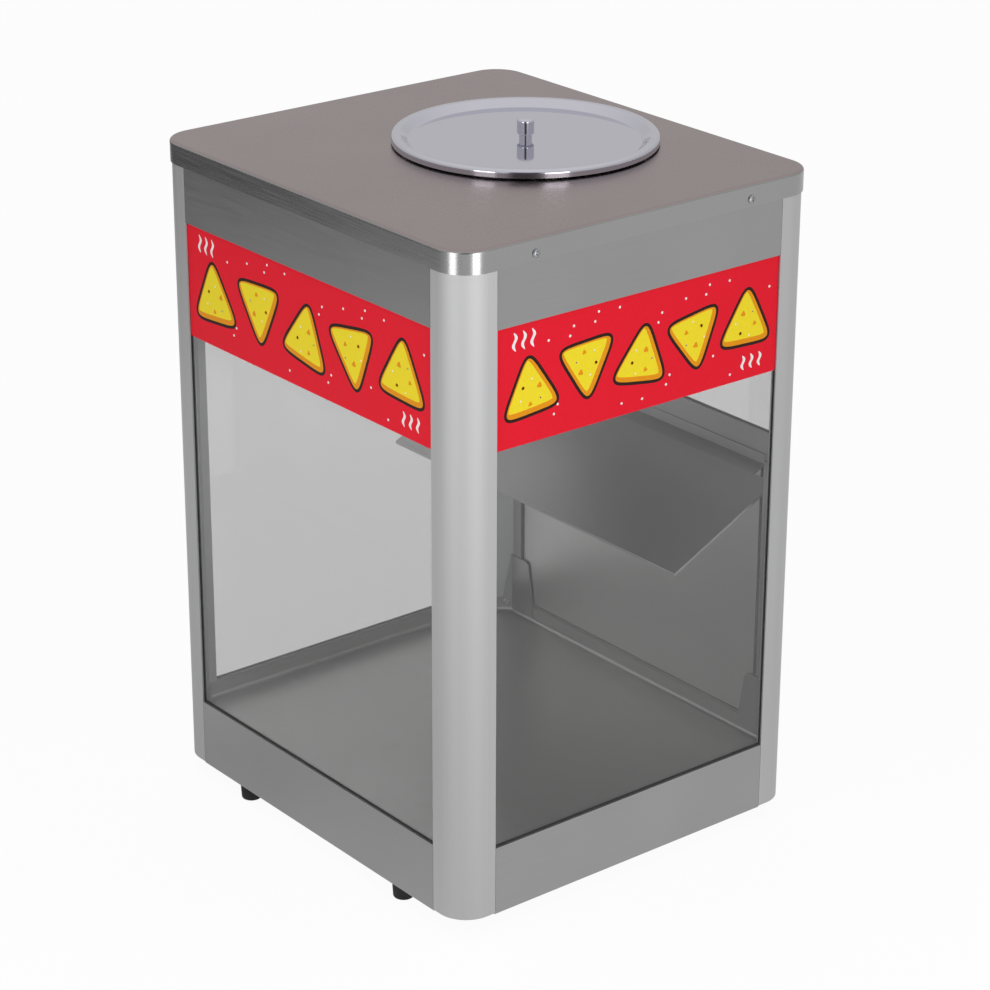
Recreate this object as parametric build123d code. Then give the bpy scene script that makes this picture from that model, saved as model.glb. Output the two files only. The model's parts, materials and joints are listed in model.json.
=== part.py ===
from build123d import *
import os
from math import cos, radians, sqrt, tan

# Chip warmer: a glazed, heated holding cabinet that is filled through a lift-off lid in its
# roof and served through a hinged door low in its back wall. Millimetres, +Z up, the front
# faces -Y. The origin is the middle of the footprint, on the surface that the feet stand on.
#
# Wall pieces are drawn in a wall frame: x runs along the wall, y is the depth inwards from
# the cabinet's outside face, and z is the height above the cabinet's bottom edge.

# ---- Cabinet ------------------------------------------------------------------------
BODY_W = 449.0          # over the corner posts, left to right
BODY_D = 406.0          # over the corner posts, front to back
BODY_H = 631.0          # bottom edge to the underside of the cover
FOOT_H = 18.0           # surface to the posts' lower ends, which are the cabinet's bottom edge
PANEL_DROP = 2.0        # base panels' lower edge below the posts
BASE_H = 66.0           # base panels, bottom edge to window sill
HEADER_H = 73.0         # headers, top of the window to the underside of the cover
FLOOR_H = 48.0          # top of the chamber's floor above the bottom edge
WALL = 1.4              # post wall and panel sheet, alike so that the glazing slots line up
SEAM = 0.3              # visible seam between a panel and the post beside it
PANEL_BEND_R = 2.0      # outside bend of a panel's flange
CUT_OVER = 1.0          # how far a cutter reaches past what it cuts

# ---- Corner posts ---------------------------------------------------------------------
POST_R = 30.0           # outside corner
POST_LEG = 40.0         # reach along each wall, from the square corner
POST_SLOT_LEG = 36.5    # from the square corner to the bottom of the glazing slot
POST_DROP = 2.0         # post's end below the cover
POST_CUT = 39.5         # the post's inner face is the line where both depths add up to this
TONGUE = 9.0            # length of a panel's tongue into the post, from the panel's end
TONGUE_CLEAR = 0.2      # tongue to the bottom of the slot

# ---- Glazing --------------------------------------------------------------------------
GLASS_T = 3.0
GLASS_ARRIS = 0.3       # bevel on the pane's edges
GASKET_T = 0.8
GASKET_SHOW = 0.8       # how far the gasket stands above the sill
GLASS_BITE = 7.0        # glass below the sill's edge
GLASS_TOP_BITE = 6.0    # glass above the header's edge
SLOT_CLEAR = 0.1        # gasket to each side of its slot
SLOT_END_CLEAR = 0.2    # gasket to the bottom of its slot
SIGN_H = 110.0
SIGN_T = 0.4
SIGN_GAP = 0.3          # sign to the edges of the window

# ---- Back wall ------------------------------------------------------------------------
RAIL_Z = 338.0          # underside of the mid rail above the bottom edge
RAIL_H = 28.0
DOOR_GAP = 1.5          # gap round the door
DOOR_SKIN_T = 1.2
DOOR_CORNER_R = 1.5
DOOR_SET_BACK = 0.3     # door's inner face to the inner face of the posts' flanges
HINGE_H = 50.0
HINGE_INSET = 34.0      # door's end to the end of a hinge
HINGE_PIN_D = 3.0
HINGE_KNUCKLE_D = 6.0
HINGE_LEAF_T = 1.2
HINGE_LEAF_W = 9.0      # frame leaf, from the pin's axis
HINGE_DOOR_LEAF_W = 18.0
HINGE_KNUCKLES = 3
PIN_CLEAR = 0.05
KNUCKLE_GAP = 0.3
PIN_HEAD_D = 4.6
PIN_HEAD_T = 1.0
PULL_L = 102.0          # 96 between the legs' centres
PULL_D = 6.0
PULL_OUT = 17.0         # pull's reach beyond the cabinet's back face
PULL_R = 8.0
PULL_INSET = 18.0       # pull to the door's free edge
MAGNET_L = 40.0
MAGNET_H = 7.0
MAGNET_GAP = 0.3        # magnet to the closed door

# ---- Chamber --------------------------------------------------------------------------
PAN_T = 1.0
PAN_RISE = 16.0         # floor pan's rim above the floor
PAN_BEND_R = 5.0        # outside radius of the pan's bend
PAN_CLEAR = 0.2         # pan to the posts
BAFFLE_T = 1.2
BAFFLE_EDGE_DROP = 68.0 # baffle's free edge below the mid rail's underside
BAFFLE_EDGE_BACK = 145.6    # baffle's free edge to the cabinet's back face
BAFFLE_ANGLE = 25.6     # slope of the baffle
BAFFLE_SIDE_GAP = 15.1  # baffle's side edges to the cabinet's side faces
BAFFLE_REAR_GAP = 23.0  # baffle's upper edge to the cabinet's back face
BAFFLE_POST_GAP = 9.0   # baffle's cut corners to the rear posts
BAFFLE_HEM = 10.0
CARRIER_RISE = 6.0      # baffle carrier's leg on the mid rail, which it is welded to
CARRIER_LAP = 22.0      # baffle carrier's leg under the baffle
CARRIER_END_GAP = 4.0
BRACKET_T = 1.2
BRACKET_H = 60.0
BRACKET_LIFT = 5.0      # bracket's foot above the floor
BRACKET_WALL_TOP = 26.0 # wing on the wall, from the fold
BRACKET_WALL_FOOT = 36.0
BRACKET_POST_TOP = 1.5  # wing on the post, from the fold
BRACKET_POST_FOOT = 12.0
BRACKET_R = 7.0         # upper corner of the wing on the wall

# ---- Roof and lid -----------------------------------------------------------------------
COVER_T = 1.2
COVER_GAP = 0.3         # cover's lip to the posts
COVER_LIP = 21.0
COVER_BEND_R = 3.0
LID_Y = 50.5            # lid's centre behind the middle of the cabinet
COLLAR_R = 100.0        # fill hole, inside the collar
COLLAR_T = 1.2
COLLAR_DEPTH = 42.0     # collar below the cover's top face
COLLAR_FLANGE = 11.0
COLLAR_CLEAR = 0.2      # collar in the cover's hole
LID_R = 123.5
LID_T = 1.0
LID_FLOOR_R = 108.0
LID_RISE = 6.7          # rim above the lid's floor
LID_RIM_W = 7.5
LID_HEM = 1.75          # lid's lower edge above the cover
LID_FLOOR_BEND_R = 4.0
LID_RIM_BEND_R = 2.5
LID_SEAT = 0.3          # lid's floor to the collar's flange
LID_RING_R = 96.5       # locating ring under the lid
LID_RING_H = 18.0
LID_RING_FLANGE = 8.0
KNOB_D = 16.0
KNOB_H = 15.0
KNOB_NECK_D = 12.0
KNOB_NECK_H = 5.0
KNOB_TOP_R = 3.0
KNOB_FOOT_R = 1.5

# ---- Fasteners and feet -----------------------------------------------------------------
SCREW_D = 4.0
SCREW_HEAD_D = 7.5
SCREW_HEAD_H = 2.2
SCREW_HEAD_CUT = 1.2    # bevel round the head's top, along its face
SCREW_HEAD_DROP = 0.9   # and down its side
SCREW_L = 8.0
SCREW_CLEAR = 0.1       # radial, screw in its hole
SCREW_PROUD = 1.0       # screw's end beyond its nut or the sheet it holds
SCREW_BLIND = 1.0       # blind hole beyond the screw's end
COVER_SCREW_END = 80.0  # cover screws from the cabinet's front and back faces
COVER_SCREW_DROP = 14.0
BRACKET_SCREW_L = 6.0
BRACKET_SCREW_UP = 6.0  # above the bracket's foot
BRACKET_SCREW_OFF = 6.0 # from the bracket's fold, on the post's wing
NUT_AF = 7.0
NUT_H = 3.2
FOOT_D = 19.5
FOOT_TOP_D = 21.5
FOOT_EDGE_R = 2.0
FOOT_SIDE = 101.5       # foot's centre from the left or right face
FOOT_INSET = 13.0       # foot's centre from the front or back face
FOOT_RECESS_D = 10.0
FOOT_RECESS_H = 9.0
FLANGE_FOOT = 30.0      # base panels' bottom flange, from the outside face
FLANGE_TOP = 18.0       # headers' top flange, from the outside face
PLATE_T = 1.2

# ---- Heating and controls ---------------------------------------------------------------
ELEMENT_D = 6.6
ELEMENT_RUN = 200.0     # length of the element's straight runs
ELEMENT_PITCH = 50.0
ELEMENT_RUNS = 4
ELEMENT_Y = -20.0       # middle of the element's runs
ELEMENT_GAP = 0.1       # element to the floor pan
ELEMENT_TAIL = 30.0     # straight tail behind the last bend
CLAMP_T = 1.0
CLAMP_W = 12.0
CLAMP_FOOT = 8.0
CLAMP_X = 80.0
SHIELD_T = 0.8
SHIELD_W = 320.0
SHIELD_D = 230.0
SHIELD_GAP = 14.0       # below the element
SHIELD_FOOT = 12.0
CONTROL_Z = 27.0        # controls' centre line above the bottom edge
KNOB_X = -60.0          # controls' places along the back, seen from inside the cabinet
LAMP_X = 5.0
SWITCH_X = 50.0
INLET_X = 130.0
STAT_W = 38.0
STAT_H = 34.0
STAT_T = 20.0
STAT_R = 3.0
BUSH_D = 10.0
BUSH_OUT = 1.0          # bush beyond the back face
SPINDLE_D = 6.0
SPINDLE_OUT = 12.0      # spindle beyond the back face
SPINDLE_IN = 8.0        # spindle inside the thermostat's body
SPINDLE_END = 0.5       # room beyond each end of the spindle
SPINDLE_FLAT = 0.6      # flat's distance from the axis, as a share of the radius
DIAL_D = 32.0
DIAL_T = 12.0
DIAL_GAP = 1.0          # dial's skirt to the end of the bush
DIAL_SKIRT_T = 3.5
DIAL_SKIRT_CUT = 1.0
DIAL_GRIP_D = 22.0
DIAL_BAR_W = 9.0        # grip bar across the dial
DIAL_BAR_FOOT = 2.0     # round step between the skirt and the bar
POINTER_W = 2.0
POINTER_LAP = 2.0       # pointer's reach under the grip
POINTER_INSET = 1.5     # pointer to the skirt's edge
POINTER_RISE = 0.7      # pointer above the skirt
POINTER_SINK = 0.5      # pointer into the skirt
SWITCH_W = 22.0
SWITCH_H = 30.0
SWITCH_DEPTH = 20.0
SWITCH_BEZEL = 1.6      # bezel's height above the back face
SWITCH_BEZEL_W = 2.0    # bezel beyond the body
SWITCH_WALL = 2.0
SWITCH_FLOOR = 4.0
ROCKER_GAP = 0.4
ROCKER_SWING = 1.2      # room for the rocker's ends as it tilts
ROCKER_TILT = 7.0
ROCKER_PROUD = 2.0
ROCKER_DISH = 1.6       # hollow in the middle of the rocker's face
ROCKER_BACK = 2.5       # rocker's back beyond its axis
ROCKER_TAPER = 0.7      # rocker's back, as a share of its face
ROCKER_PIN_D = 2.4
ROCKER_SINK = 4.0       # rocker's axis below the back face
TRUNNION_INSET = 1.0    # trunnion's end to the side of the switch's body
TRUNNION_END = 0.5      # room beyond each end of the trunnion
LAMP_D = 10.0
LAMP_L = 22.0
LAMP_FLANGE_D = 13.0
LAMP_LENS_H = 4.5
LAMP_LENS_R = 2.5
INLET_W = 27.0
INLET_H = 20.0
INLET_DEPTH = 26.0
INLET_FLANGE_W = 50.0
INLET_FLANGE_H = 24.0
INLET_FLANGE_T = 3.0
INLET_FLANGE_R = 4.0
SOCKET_W = 24.0
SOCKET_H = 16.0
SOCKET_CUT = 4.0        # cut corners of the socket
SOCKET_DEPTH = 17.0
PIN_W = 2.0
PIN_H = 4.0
PIN_L = 15.0
PIN_ROOT = 1.0          # pins into the socket's floor
PIN_PITCH = 7.0
PIN_LOW = 1.5           # outer pins below the socket's middle
PIN_HIGH = 2.5          # earth pin above it
BLOCK_L = 60.0
BLOCK_W = 20.0
BLOCK_H = 16.0
BLOCK_WAYS = 5
BLOCK_SHOULDER_H = 9.6
BLOCK_RIDGE_W = 10.0
BLOCK_WELL_D = 4.4
BLOCK_WELL_DEPTH = 8.0
BLOCK_INSET = 60.0      # terminal strip from the back face

# ---- Worked out from the above ------------------------------------------------------------
SLOT_W = GLASS_T + 2 * GASKET_T + 2 * SLOT_CLEAR
SLOT_BACK = WALL + SLOT_W               # far side of the glazing slot
FRAME_BACK = SLOT_BACK + WALL           # room side of the frame
GLASS_V = WALL + SLOT_CLEAR + GASKET_T  # outer face of the glass
GLASS_END = POST_SLOT_LEG + SLOT_END_CLEAR + GASKET_T
WINDOW_TOP = BODY_H - HEADER_H
RAIL_TOP = RAIL_Z + RAIL_H
BAFFLE_EDGE_Z = RAIL_Z - BAFFLE_EDGE_DROP
BAFFLE_EDGE_Y = BODY_D / 2 - BAFFLE_EDGE_BACK   # behind the middle of the cabinet
BAFFLE_HALF_W = BODY_W / 2 - BAFFLE_SIDE_GAP
DOOR_T = FRAME_BACK - DOOR_SET_BACK
DOOR_Z0 = BASE_H + DOOR_GAP
DOOR_Z1 = RAIL_Z - DOOR_GAP
DOOR_HALF_W = BODY_W / 2 - POST_LEG - DOOR_GAP
HINGE_X = -(BODY_W / 2 - POST_LEG - DOOR_GAP / 2)   # hinge axis, on the left from the front
HINGE_OUT = HINGE_KNUCKLE_D / 2                     # hinge axis behind the back face
PAN_V = FRAME_BACK + PAN_CLEAR
SLOPE = tan(radians(BAFFLE_ANGLE))
COVER_TOP = BODY_H + COVER_T            # above the bottom edge, like every z here
COVER_W = BODY_W + 2 * (COVER_GAP + COVER_T)
COVER_D = BODY_D + 2 * (COVER_GAP + COVER_T)
PLATE_Z = WALL - PANEL_DROP             # bottom plate lies on the panels' flanges
PAN_UNDER = FLOOR_H - PAN_T
ELEMENT_Z = PAN_UNDER - ELEMENT_GAP - ELEMENT_D / 2
SCREW_HOLE_R = SCREW_D / 2 + SCREW_CLEAR
PLATE_TOP = PLATE_Z + PLATE_T
MAGNET_X = -(DOOR_HALF_W - MAGNET_L)    # in the rear wall's frame, on the pull's side
FOOT_X = BODY_W / 2 - FOOT_SIDE
COVER_SCREW_Y = BODY_D / 2 - COVER_SCREW_END    # from the middle of each side
DIAL_OUT = BUSH_OUT + DIAL_GAP          # dial's skirt to the back face
# The pull is the rearmost piece and the cover's lip the foremost: the origin lies midway.
SHIFT_Y = -(PULL_OUT - COVER_GAP - COVER_T) / 2


# ---- Helpers --------------------------------------------------------------------------------
def rect(y0, z0, y1, z1):
    """A rectangle in a section's plane, by two corners."""
    return Pos((y0 + y1) / 2, (z0 + z1) / 2) * Rectangle(y1 - y0, z1 - z0)


def block(x0, y0, z0, x1, y1, z1):
    """A box by two corners."""
    return Pos((x0 + x1) / 2, (y0 + y1) / 2, (z0 + z1) / 2) * Box(x1 - x0, y1 - y0, z1 - z0)


def rod(radius, height):
    """A round bar standing on z = 0."""
    return extrude(Circle(radius), height)


def on_wall(piece, side):
    """Move a piece from the wall frame to the front, right, rear or left wall."""
    places = {
        "front": Location((0, -BODY_D / 2, 0), (0, 0, 0)),
        "right": Location((BODY_W / 2, 0, 0), (0, 0, 90)),
        "rear": Location((0, BODY_D / 2, 0), (0, 0, 180)),
        "left": Location((-BODY_W / 2, 0, 0), (0, 0, -90)),
    }
    return places[side] * piece


def wall_length(side):
    """Width of the window between the posts' legs."""
    return (BODY_W if side in ("front", "rear") else BODY_D) - 2 * POST_LEG


def wall_bar(section, length):
    """A section in depth and height, run along the wall."""
    return extrude(Plane.YZ * section, length / 2, both=True)


def corner_outline(points):
    """A symmetric outline at the rear right corner, from depths below the two walls."""
    whole = points + [(v, u) for u, v in reversed(points[1:])]
    return Polygon(*[(BODY_W / 2 - u, BODY_D / 2 - v) for u, v in whole], align=None)


def round_corner(face, radius):
    """Round the outline's corner that is furthest along both axes taken together."""
    outermost = face.vertices().sort_by(lambda vertex: vertex.X + vertex.Y)[-1]
    return fillet(outermost, radius)


def elbow(bend_r, bar_r, angle):
    """A bent stretch of round bar about the z axis, from +x turning towards +y."""
    return Torus(bend_r, bar_r, major_angle=angle, align=None)


def octagon(half_w, half_d, cut):
    """A rectangle with its corners cut at 45 degrees."""
    return chamfer(Rectangle(2 * half_w, 2 * half_d).vertices(), cut)


def pan_head_screw(length):
    """A pan head screw along +z, its head's underside at z = 0."""
    head = rod(SCREW_HEAD_D / 2, SCREW_HEAD_H)
    head = chamfer(head.edges().sort_by(Axis.Z)[-1], SCREW_HEAD_DROP, SCREW_HEAD_CUT)
    return head + Pos(0, 0, -length) * rod(SCREW_D / 2, length)


def lifted(z):
    """Height above the bottom edge to height above the surface, with the origin's shift."""
    return Location((0, SHIFT_Y, z))


# ---- Frame ----------------------------------------------------------------------------------
def corner_post():
    """Hollow extruded post for the rear right corner, with a slot for each wall's glass."""
    inner_cut = POST_CUT - WALL * sqrt(2)
    outline = corner_outline([
        (0, 0), (POST_LEG, 0), (POST_LEG, WALL), (POST_SLOT_LEG, WALL),
        (POST_SLOT_LEG, SLOT_BACK), (POST_LEG, SLOT_BACK), (POST_LEG, FRAME_BACK),
        (POST_CUT - FRAME_BACK, FRAME_BACK),
    ])
    hollow = corner_outline([
        (WALL, WALL), (POST_SLOT_LEG - WALL, WALL), (POST_SLOT_LEG - WALL, SLOT_BACK),
        (inner_cut - SLOT_BACK, SLOT_BACK),
    ])
    section = round_corner(outline, POST_R) - round_corner(hollow, POST_R - WALL)
    return extrude(section, BODY_H - POST_DROP)


def tongues(length, z0, z1):
    """The two tongues that reach from a panel's ends into the posts' slots."""
    reach = length / 2 + POST_LEG - POST_SLOT_LEG - TONGUE_CLEAR
    root = length / 2 - TONGUE
    return [block(side * root, WALL, z0, side * reach, 2 * WALL, z1) if side > 0
            else block(side * reach, WALL, z0, side * root, 2 * WALL, z1) for side in (-1, 1)]


def base_panel(side):
    """Folded base panel with a foot flange and a glazing groove along its top."""
    length = wall_length(side)
    groove = BASE_H - GLASS_BITE - GASKET_T - SLOT_END_CLEAR
    section = (rect(0, -PANEL_DROP, WALL, BASE_H) + rect(0, -PANEL_DROP, FLANGE_FOOT, PLATE_Z)
               + rect(WALL, groove - WALL, FRAME_BACK, groove)
               + rect(SLOT_BACK, groove - WALL, FRAME_BACK, BASE_H))
    panel = bent(wall_bar(section, length - 2 * SEAM), -PANEL_DROP)
    return panel + tongues(length, PLATE_TOP + SEAM, groove - WALL)


def bent(panel, z):
    """Round the bend along a panel's outside edge at a height."""
    edges = panel.edges().filter_by(Axis.X).filter_by_position(Axis.Z, z - 0.01, z + 0.01)
    return fillet(edges.sort_by(Axis.Y)[0], PANEL_BEND_R)


def rear_base_panel():
    """Base panel under the door: a closed sill with a seat for the magnet."""
    length = wall_length("rear")
    lip = BASE_H - GLASS_BITE - GASKET_T - SLOT_END_CLEAR - WALL
    section = (rect(0, -PANEL_DROP, WALL, BASE_H) + rect(0, -PANEL_DROP, FLANGE_FOOT, PLATE_Z)
               + rect(0, BASE_H - WALL, FRAME_BACK, BASE_H)
               + rect(SLOT_BACK, lip, FRAME_BACK, BASE_H))
    panel = bent(wall_bar(section, length - 2 * SEAM), -PANEL_DROP)
    panel += tongues(length, PLATE_TOP + SEAM, lip)
    panel -= Pos(MAGNET_X, 0, 0) * block(-MAGNET_L / 2, WALL, lip, MAGNET_L / 2, SLOT_BACK, BASE_H)
    for x, radius in ((KNOB_X, BUSH_D / 2 + SCREW_CLEAR), (LAMP_X, LAMP_D / 2 + SCREW_CLEAR)):
        panel -= wall_hole(-x, CONTROL_Z, radius)
    for x, width, height in ((SWITCH_X, SWITCH_W, SWITCH_H), (INLET_X, INLET_W, INLET_H)):
        half_w, half_h = width / 2 + SCREW_CLEAR, height / 2 + SCREW_CLEAR
        panel -= Pos(-x, 0, CONTROL_Z) * block(-half_w, -CUT_OVER, -half_h, half_w, FRAME_BACK, half_h)
    return panel


def wall_hole(x, z, radius):
    """A round cutter through a wall's outer sheet, in the wall frame."""
    return Location((x, -CUT_OVER, z), (-90, 0, 0)) * rod(radius, FRAME_BACK)


def header(side):
    """Folded header with a glazing groove below and a flange under the cover."""
    length = wall_length(side)
    groove = WINDOW_TOP + GLASS_TOP_BITE + GASKET_T + SLOT_END_CLEAR
    section = (rect(0, WINDOW_TOP, WALL, BODY_H) + rect(0, BODY_H - WALL, FLANGE_TOP, BODY_H)
               + rect(WALL, groove, FRAME_BACK, groove + WALL)
               + rect(SLOT_BACK, WINDOW_TOP, FRAME_BACK, groove + WALL))
    panel = bent(wall_bar(section, length - 2 * SEAM), BODY_H)
    return panel + tongues(length, groove + WALL, BODY_H - POST_DROP)


def mid_rail():
    """Closed rail between the door and the rear glass."""
    length = wall_length("rear")
    groove = RAIL_TOP - GLASS_BITE - GASKET_T - SLOT_END_CLEAR
    section = (rect(0, RAIL_Z, WALL, RAIL_TOP) + rect(0, RAIL_Z, FRAME_BACK, RAIL_Z + WALL)
               + rect(SLOT_BACK, RAIL_Z, FRAME_BACK, RAIL_TOP)
               + rect(WALL, groove - WALL, FRAME_BACK, groove))
    return wall_bar(section, length - 2 * SEAM) + tongues(length, RAIL_Z + WALL, groove - WALL)


def bottom_plate():
    """Closing plate that lies on the base panels' bottom flanges."""
    gap = WALL + SEAM
    cut = POST_LEG + FRAME_BACK + SEAM - 2 * gap
    return Pos(0, 0, PLATE_Z) * extrude(
        octagon(BODY_W / 2 - gap, BODY_D / 2 - gap, cut), PLATE_T)


def floor_pan():
    """Pressed floor of the chamber, its corners cut to fit the posts."""
    cut = POST_CUT + PAN_CLEAR * sqrt(2) - 2 * PAN_V
    solid = extrude(octagon(BODY_W / 2 - PAN_V, BODY_D / 2 - PAN_V, cut), PAN_RISE + PAN_T)
    solid = fillet(solid.faces().sort_by(Axis.Z)[0].edges(), PAN_BEND_R)
    pan = offset(solid, amount=-PAN_T, openings=solid.faces().sort_by(Axis.Z)[-1])
    return Pos(0, 0, PAN_UNDER) * pan


# ---- Glazing --------------------------------------------------------------------------------
def pane_box(side, sill, grow, v0, v1):
    """The pane's outline grown by a margin, between two depths."""
    half = wall_length(side) / 2 + POST_LEG - GLASS_END + grow
    return block(-half, v0, sill - GLASS_BITE - grow, half, v1, WINDOW_TOP + GLASS_TOP_BITE + grow)


def glass(side, sill):
    """Flat pane with arrised edges."""
    return chamfer(pane_box(side, sill, 0, GLASS_V, GLASS_V + GLASS_T).edges(), GLASS_ARRIS)


def gasket(side, sill):
    """Channel rubber round a pane's edge."""
    half = wall_length(side) / 2
    body = pane_box(side, sill, GASKET_T, GLASS_V - GASKET_T, GLASS_V + GLASS_T + GASKET_T)
    window = block(-half, 0, sill + GASKET_SHOW, half, FRAME_BACK, WINDOW_TOP)
    return body - pane_box(side, sill, 0, GLASS_V, GLASS_V + GLASS_T) - window


def sign(side):
    """Printed film on the outside of the pane, under the header."""
    half = wall_length(side) / 2 - SIGN_GAP
    top = WINDOW_TOP - SIGN_GAP
    return block(-half, GLASS_V - SIGN_T, top - SIGN_H, half, GLASS_V, top)


# ---- Baffle and brackets --------------------------------------------------------------------
def baffle_z(y):
    """Height of the baffle's upper face at a place behind the cabinet's middle."""
    return BAFFLE_EDGE_Z + (y - BAFFLE_EDGE_Y) * SLOPE


def sloped(points):
    """An outline in y and height below the baffle's upper face, as a section in y and z."""
    return Polygon(*[(y, baffle_z(y) - drop) for y, drop in points], align=None)


def baffle():
    """Sloping chute plate with hemmed edges, cut back round the rear posts."""
    back = BODY_D / 2 - BAFFLE_REAR_GAP
    thick = BAFFLE_T / cos(radians(BAFFLE_ANGLE))
    run = BAFFLE_HEM * cos(radians(BAFFLE_ANGLE))
    plate = extrude(Plane.YZ * sloped([(BAFFLE_EDGE_Y, 0), (back, 0), (back, thick),
                                       (BAFFLE_EDGE_Y, thick)]), BAFFLE_HALF_W, both=True)
    hem = [(BAFFLE_EDGE_Y, thick), (BAFFLE_EDGE_Y + run, thick),
           (BAFFLE_EDGE_Y + run, 2 * thick), (BAFFLE_EDGE_Y, 2 * thick)]
    plate += extrude(Plane.YZ * sloped(hem), BAFFLE_HALF_W, both=True)
    side_hem = [(BAFFLE_EDGE_Y, thick), (back, thick), (back, 2 * thick), (BAFFLE_EDGE_Y, 2 * thick)]
    strip = extrude(Plane.YZ * sloped(side_hem), BAFFLE_HEM / 2, both=True)
    middle = BAFFLE_HALF_W - BAFFLE_HEM / 2
    plate = plate + Pos(-middle, 0, 0) * strip + Pos(middle, 0, 0) * strip
    reach = POST_CUT + BAFFLE_POST_GAP * sqrt(2)
    for side in (-1, 1):
        cutter = Polygon((side * BODY_W / 2, BODY_D / 2),
                         (side * (BODY_W / 2 - reach), BODY_D / 2),
                         (side * BODY_W / 2, BODY_D / 2 - reach), align=None)
        plate -= extrude(cutter, BODY_H, both=True)
    return plate


def baffle_carrier():
    """Angle strip on the mid rail, with a sloping leg that the baffle is welded to."""
    thick = BAFFLE_T / cos(radians(BAFFLE_ANGLE))
    wall_y = BODY_D / 2 - FRAME_BACK
    edge_y = BODY_D / 2 - BAFFLE_REAR_GAP - CARRIER_LAP
    leg = sloped([(edge_y, thick), (wall_y, thick), (wall_y, 2 * thick), (edge_y, 2 * thick)])
    fold_z = baffle_z(wall_y) - 2 * thick
    upright = rect(wall_y - BAFFLE_T, fold_z, wall_y, RAIL_Z + CARRIER_RISE)
    upright -= Polygon((wall_y - BAFFLE_T, fold_z), (wall_y, fold_z),
                       (wall_y - BAFFLE_T, fold_z - BAFFLE_T * SLOPE), align=None)
    half = wall_length("rear") / 2 - CARRIER_END_GAP
    return extrude(Plane.YZ * (leg + upright), half, both=True)


def bracket():
    """Folded corner bracket for the rear right post: one wing on the post, one on the wall."""
    pan_face = PAN_V + PAN_T
    cut = POST_CUT + (PAN_CLEAR + PAN_T) * sqrt(2)
    fold_u = cut - pan_face
    z0, z1 = FLOOR_H + BRACKET_LIFT, FLOOR_H + BRACKET_LIFT + BRACKET_H
    wall_wing = Polygon((0, z0), (BRACKET_WALL_FOOT, z0), (BRACKET_WALL_TOP, z1), (0, z1), align=None)
    wall_wing = round_corner(wall_wing, BRACKET_R)
    post_wing = Polygon((0, z0), (BRACKET_POST_FOOT, z0), (BRACKET_POST_TOP, z1), (0, z1), align=None)
    fold = Location((BODY_W / 2 - fold_u, BODY_D / 2 - pan_face, 0))
    along_wall = Plane((0, 0, 0), x_dir=(-1, 0, 0), z_dir=(0, -1, 0))
    along_post = Plane((0, 0, 0), x_dir=(1, -1, 0), z_dir=(-1, -1, 0))
    plate = (extrude(along_wall * mirror(wall_wing, about=Plane.XZ), BRACKET_T)
             + extrude(along_post * post_wing, BRACKET_T))
    return fold * plate


# ---- Door -----------------------------------------------------------------------------------
def door_skin():
    """Outer pan of the door, its edges folded inwards."""
    lip = DOOR_T - DOOR_SKIN_T
    pan = block(-DOOR_HALF_W, 0, DOOR_Z0, DOOR_HALF_W, lip, DOOR_Z1)
    inset = DOOR_HALF_W - DOOR_SKIN_T
    pan = fillet(pan.edges().filter_by(Axis.Y), DOOR_CORNER_R)
    return pan - block(-inset, DOOR_SKIN_T, DOOR_Z0 + DOOR_SKIN_T, inset, lip, DOOR_Z1 - DOOR_SKIN_T)


def door_liner():
    """Flat inner plate that closes the door's pan."""
    lip = DOOR_T - DOOR_SKIN_T
    plate = block(-DOOR_HALF_W, lip, DOOR_Z0, DOOR_HALF_W, DOOR_T, DOOR_Z1)
    return fillet(plate.edges().filter_by(Axis.Y), DOOR_CORNER_R)


def hinge_centres():
    """Heights of the two hinges' middles."""
    offset_z = HINGE_INSET + HINGE_H / 2
    return (DOOR_Z0 + offset_z, DOOR_Z1 - offset_z)


def hinge_leaf(direction, width, own):
    """One leaf about the pin's axis, with knuckles on the own steps and room for the others."""
    step = HINGE_H / HINGE_KNUCKLES
    flat = block(0, -HINGE_OUT, -HINGE_H / 2, width, -HINGE_OUT + HINGE_LEAF_T, HINGE_H / 2)
    leaf = flat if direction > 0 else mirror(flat, about=Plane.YZ)
    for index in range(HINGE_KNUCKLES):
        foot = -HINGE_H / 2 + index * step
        if index in own:
            leaf += Pos(0, 0, foot + KNUCKLE_GAP / 2) * rod(HINGE_KNUCKLE_D / 2, step - KNUCKLE_GAP)
        else:
            room = rod(HINGE_KNUCKLE_D / 2 + KNUCKLE_GAP, step + KNUCKLE_GAP)
            leaf -= Pos(0, 0, foot - KNUCKLE_GAP / 2) * room
    return leaf - Pos(0, 0, -HINGE_H) * rod(HINGE_PIN_D / 2 + PIN_CLEAR, 2 * HINGE_H)


def hinge_pin():
    """Hinge pin with a head at each end."""
    head = rod(PIN_HEAD_D / 2, PIN_HEAD_T)
    return (Pos(0, 0, -HINGE_H / 2) * rod(HINGE_PIN_D / 2, HINGE_H)
            + Pos(0, 0, HINGE_H / 2) * head + Pos(0, 0, -HINGE_H / 2 - PIN_HEAD_T) * head)


def at_hinges(piece):
    """A copy of a hinge piece at each hinge."""
    return [Pos(HINGE_X, BODY_D / 2 + HINGE_OUT, z) * piece for z in hinge_centres()]


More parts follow.
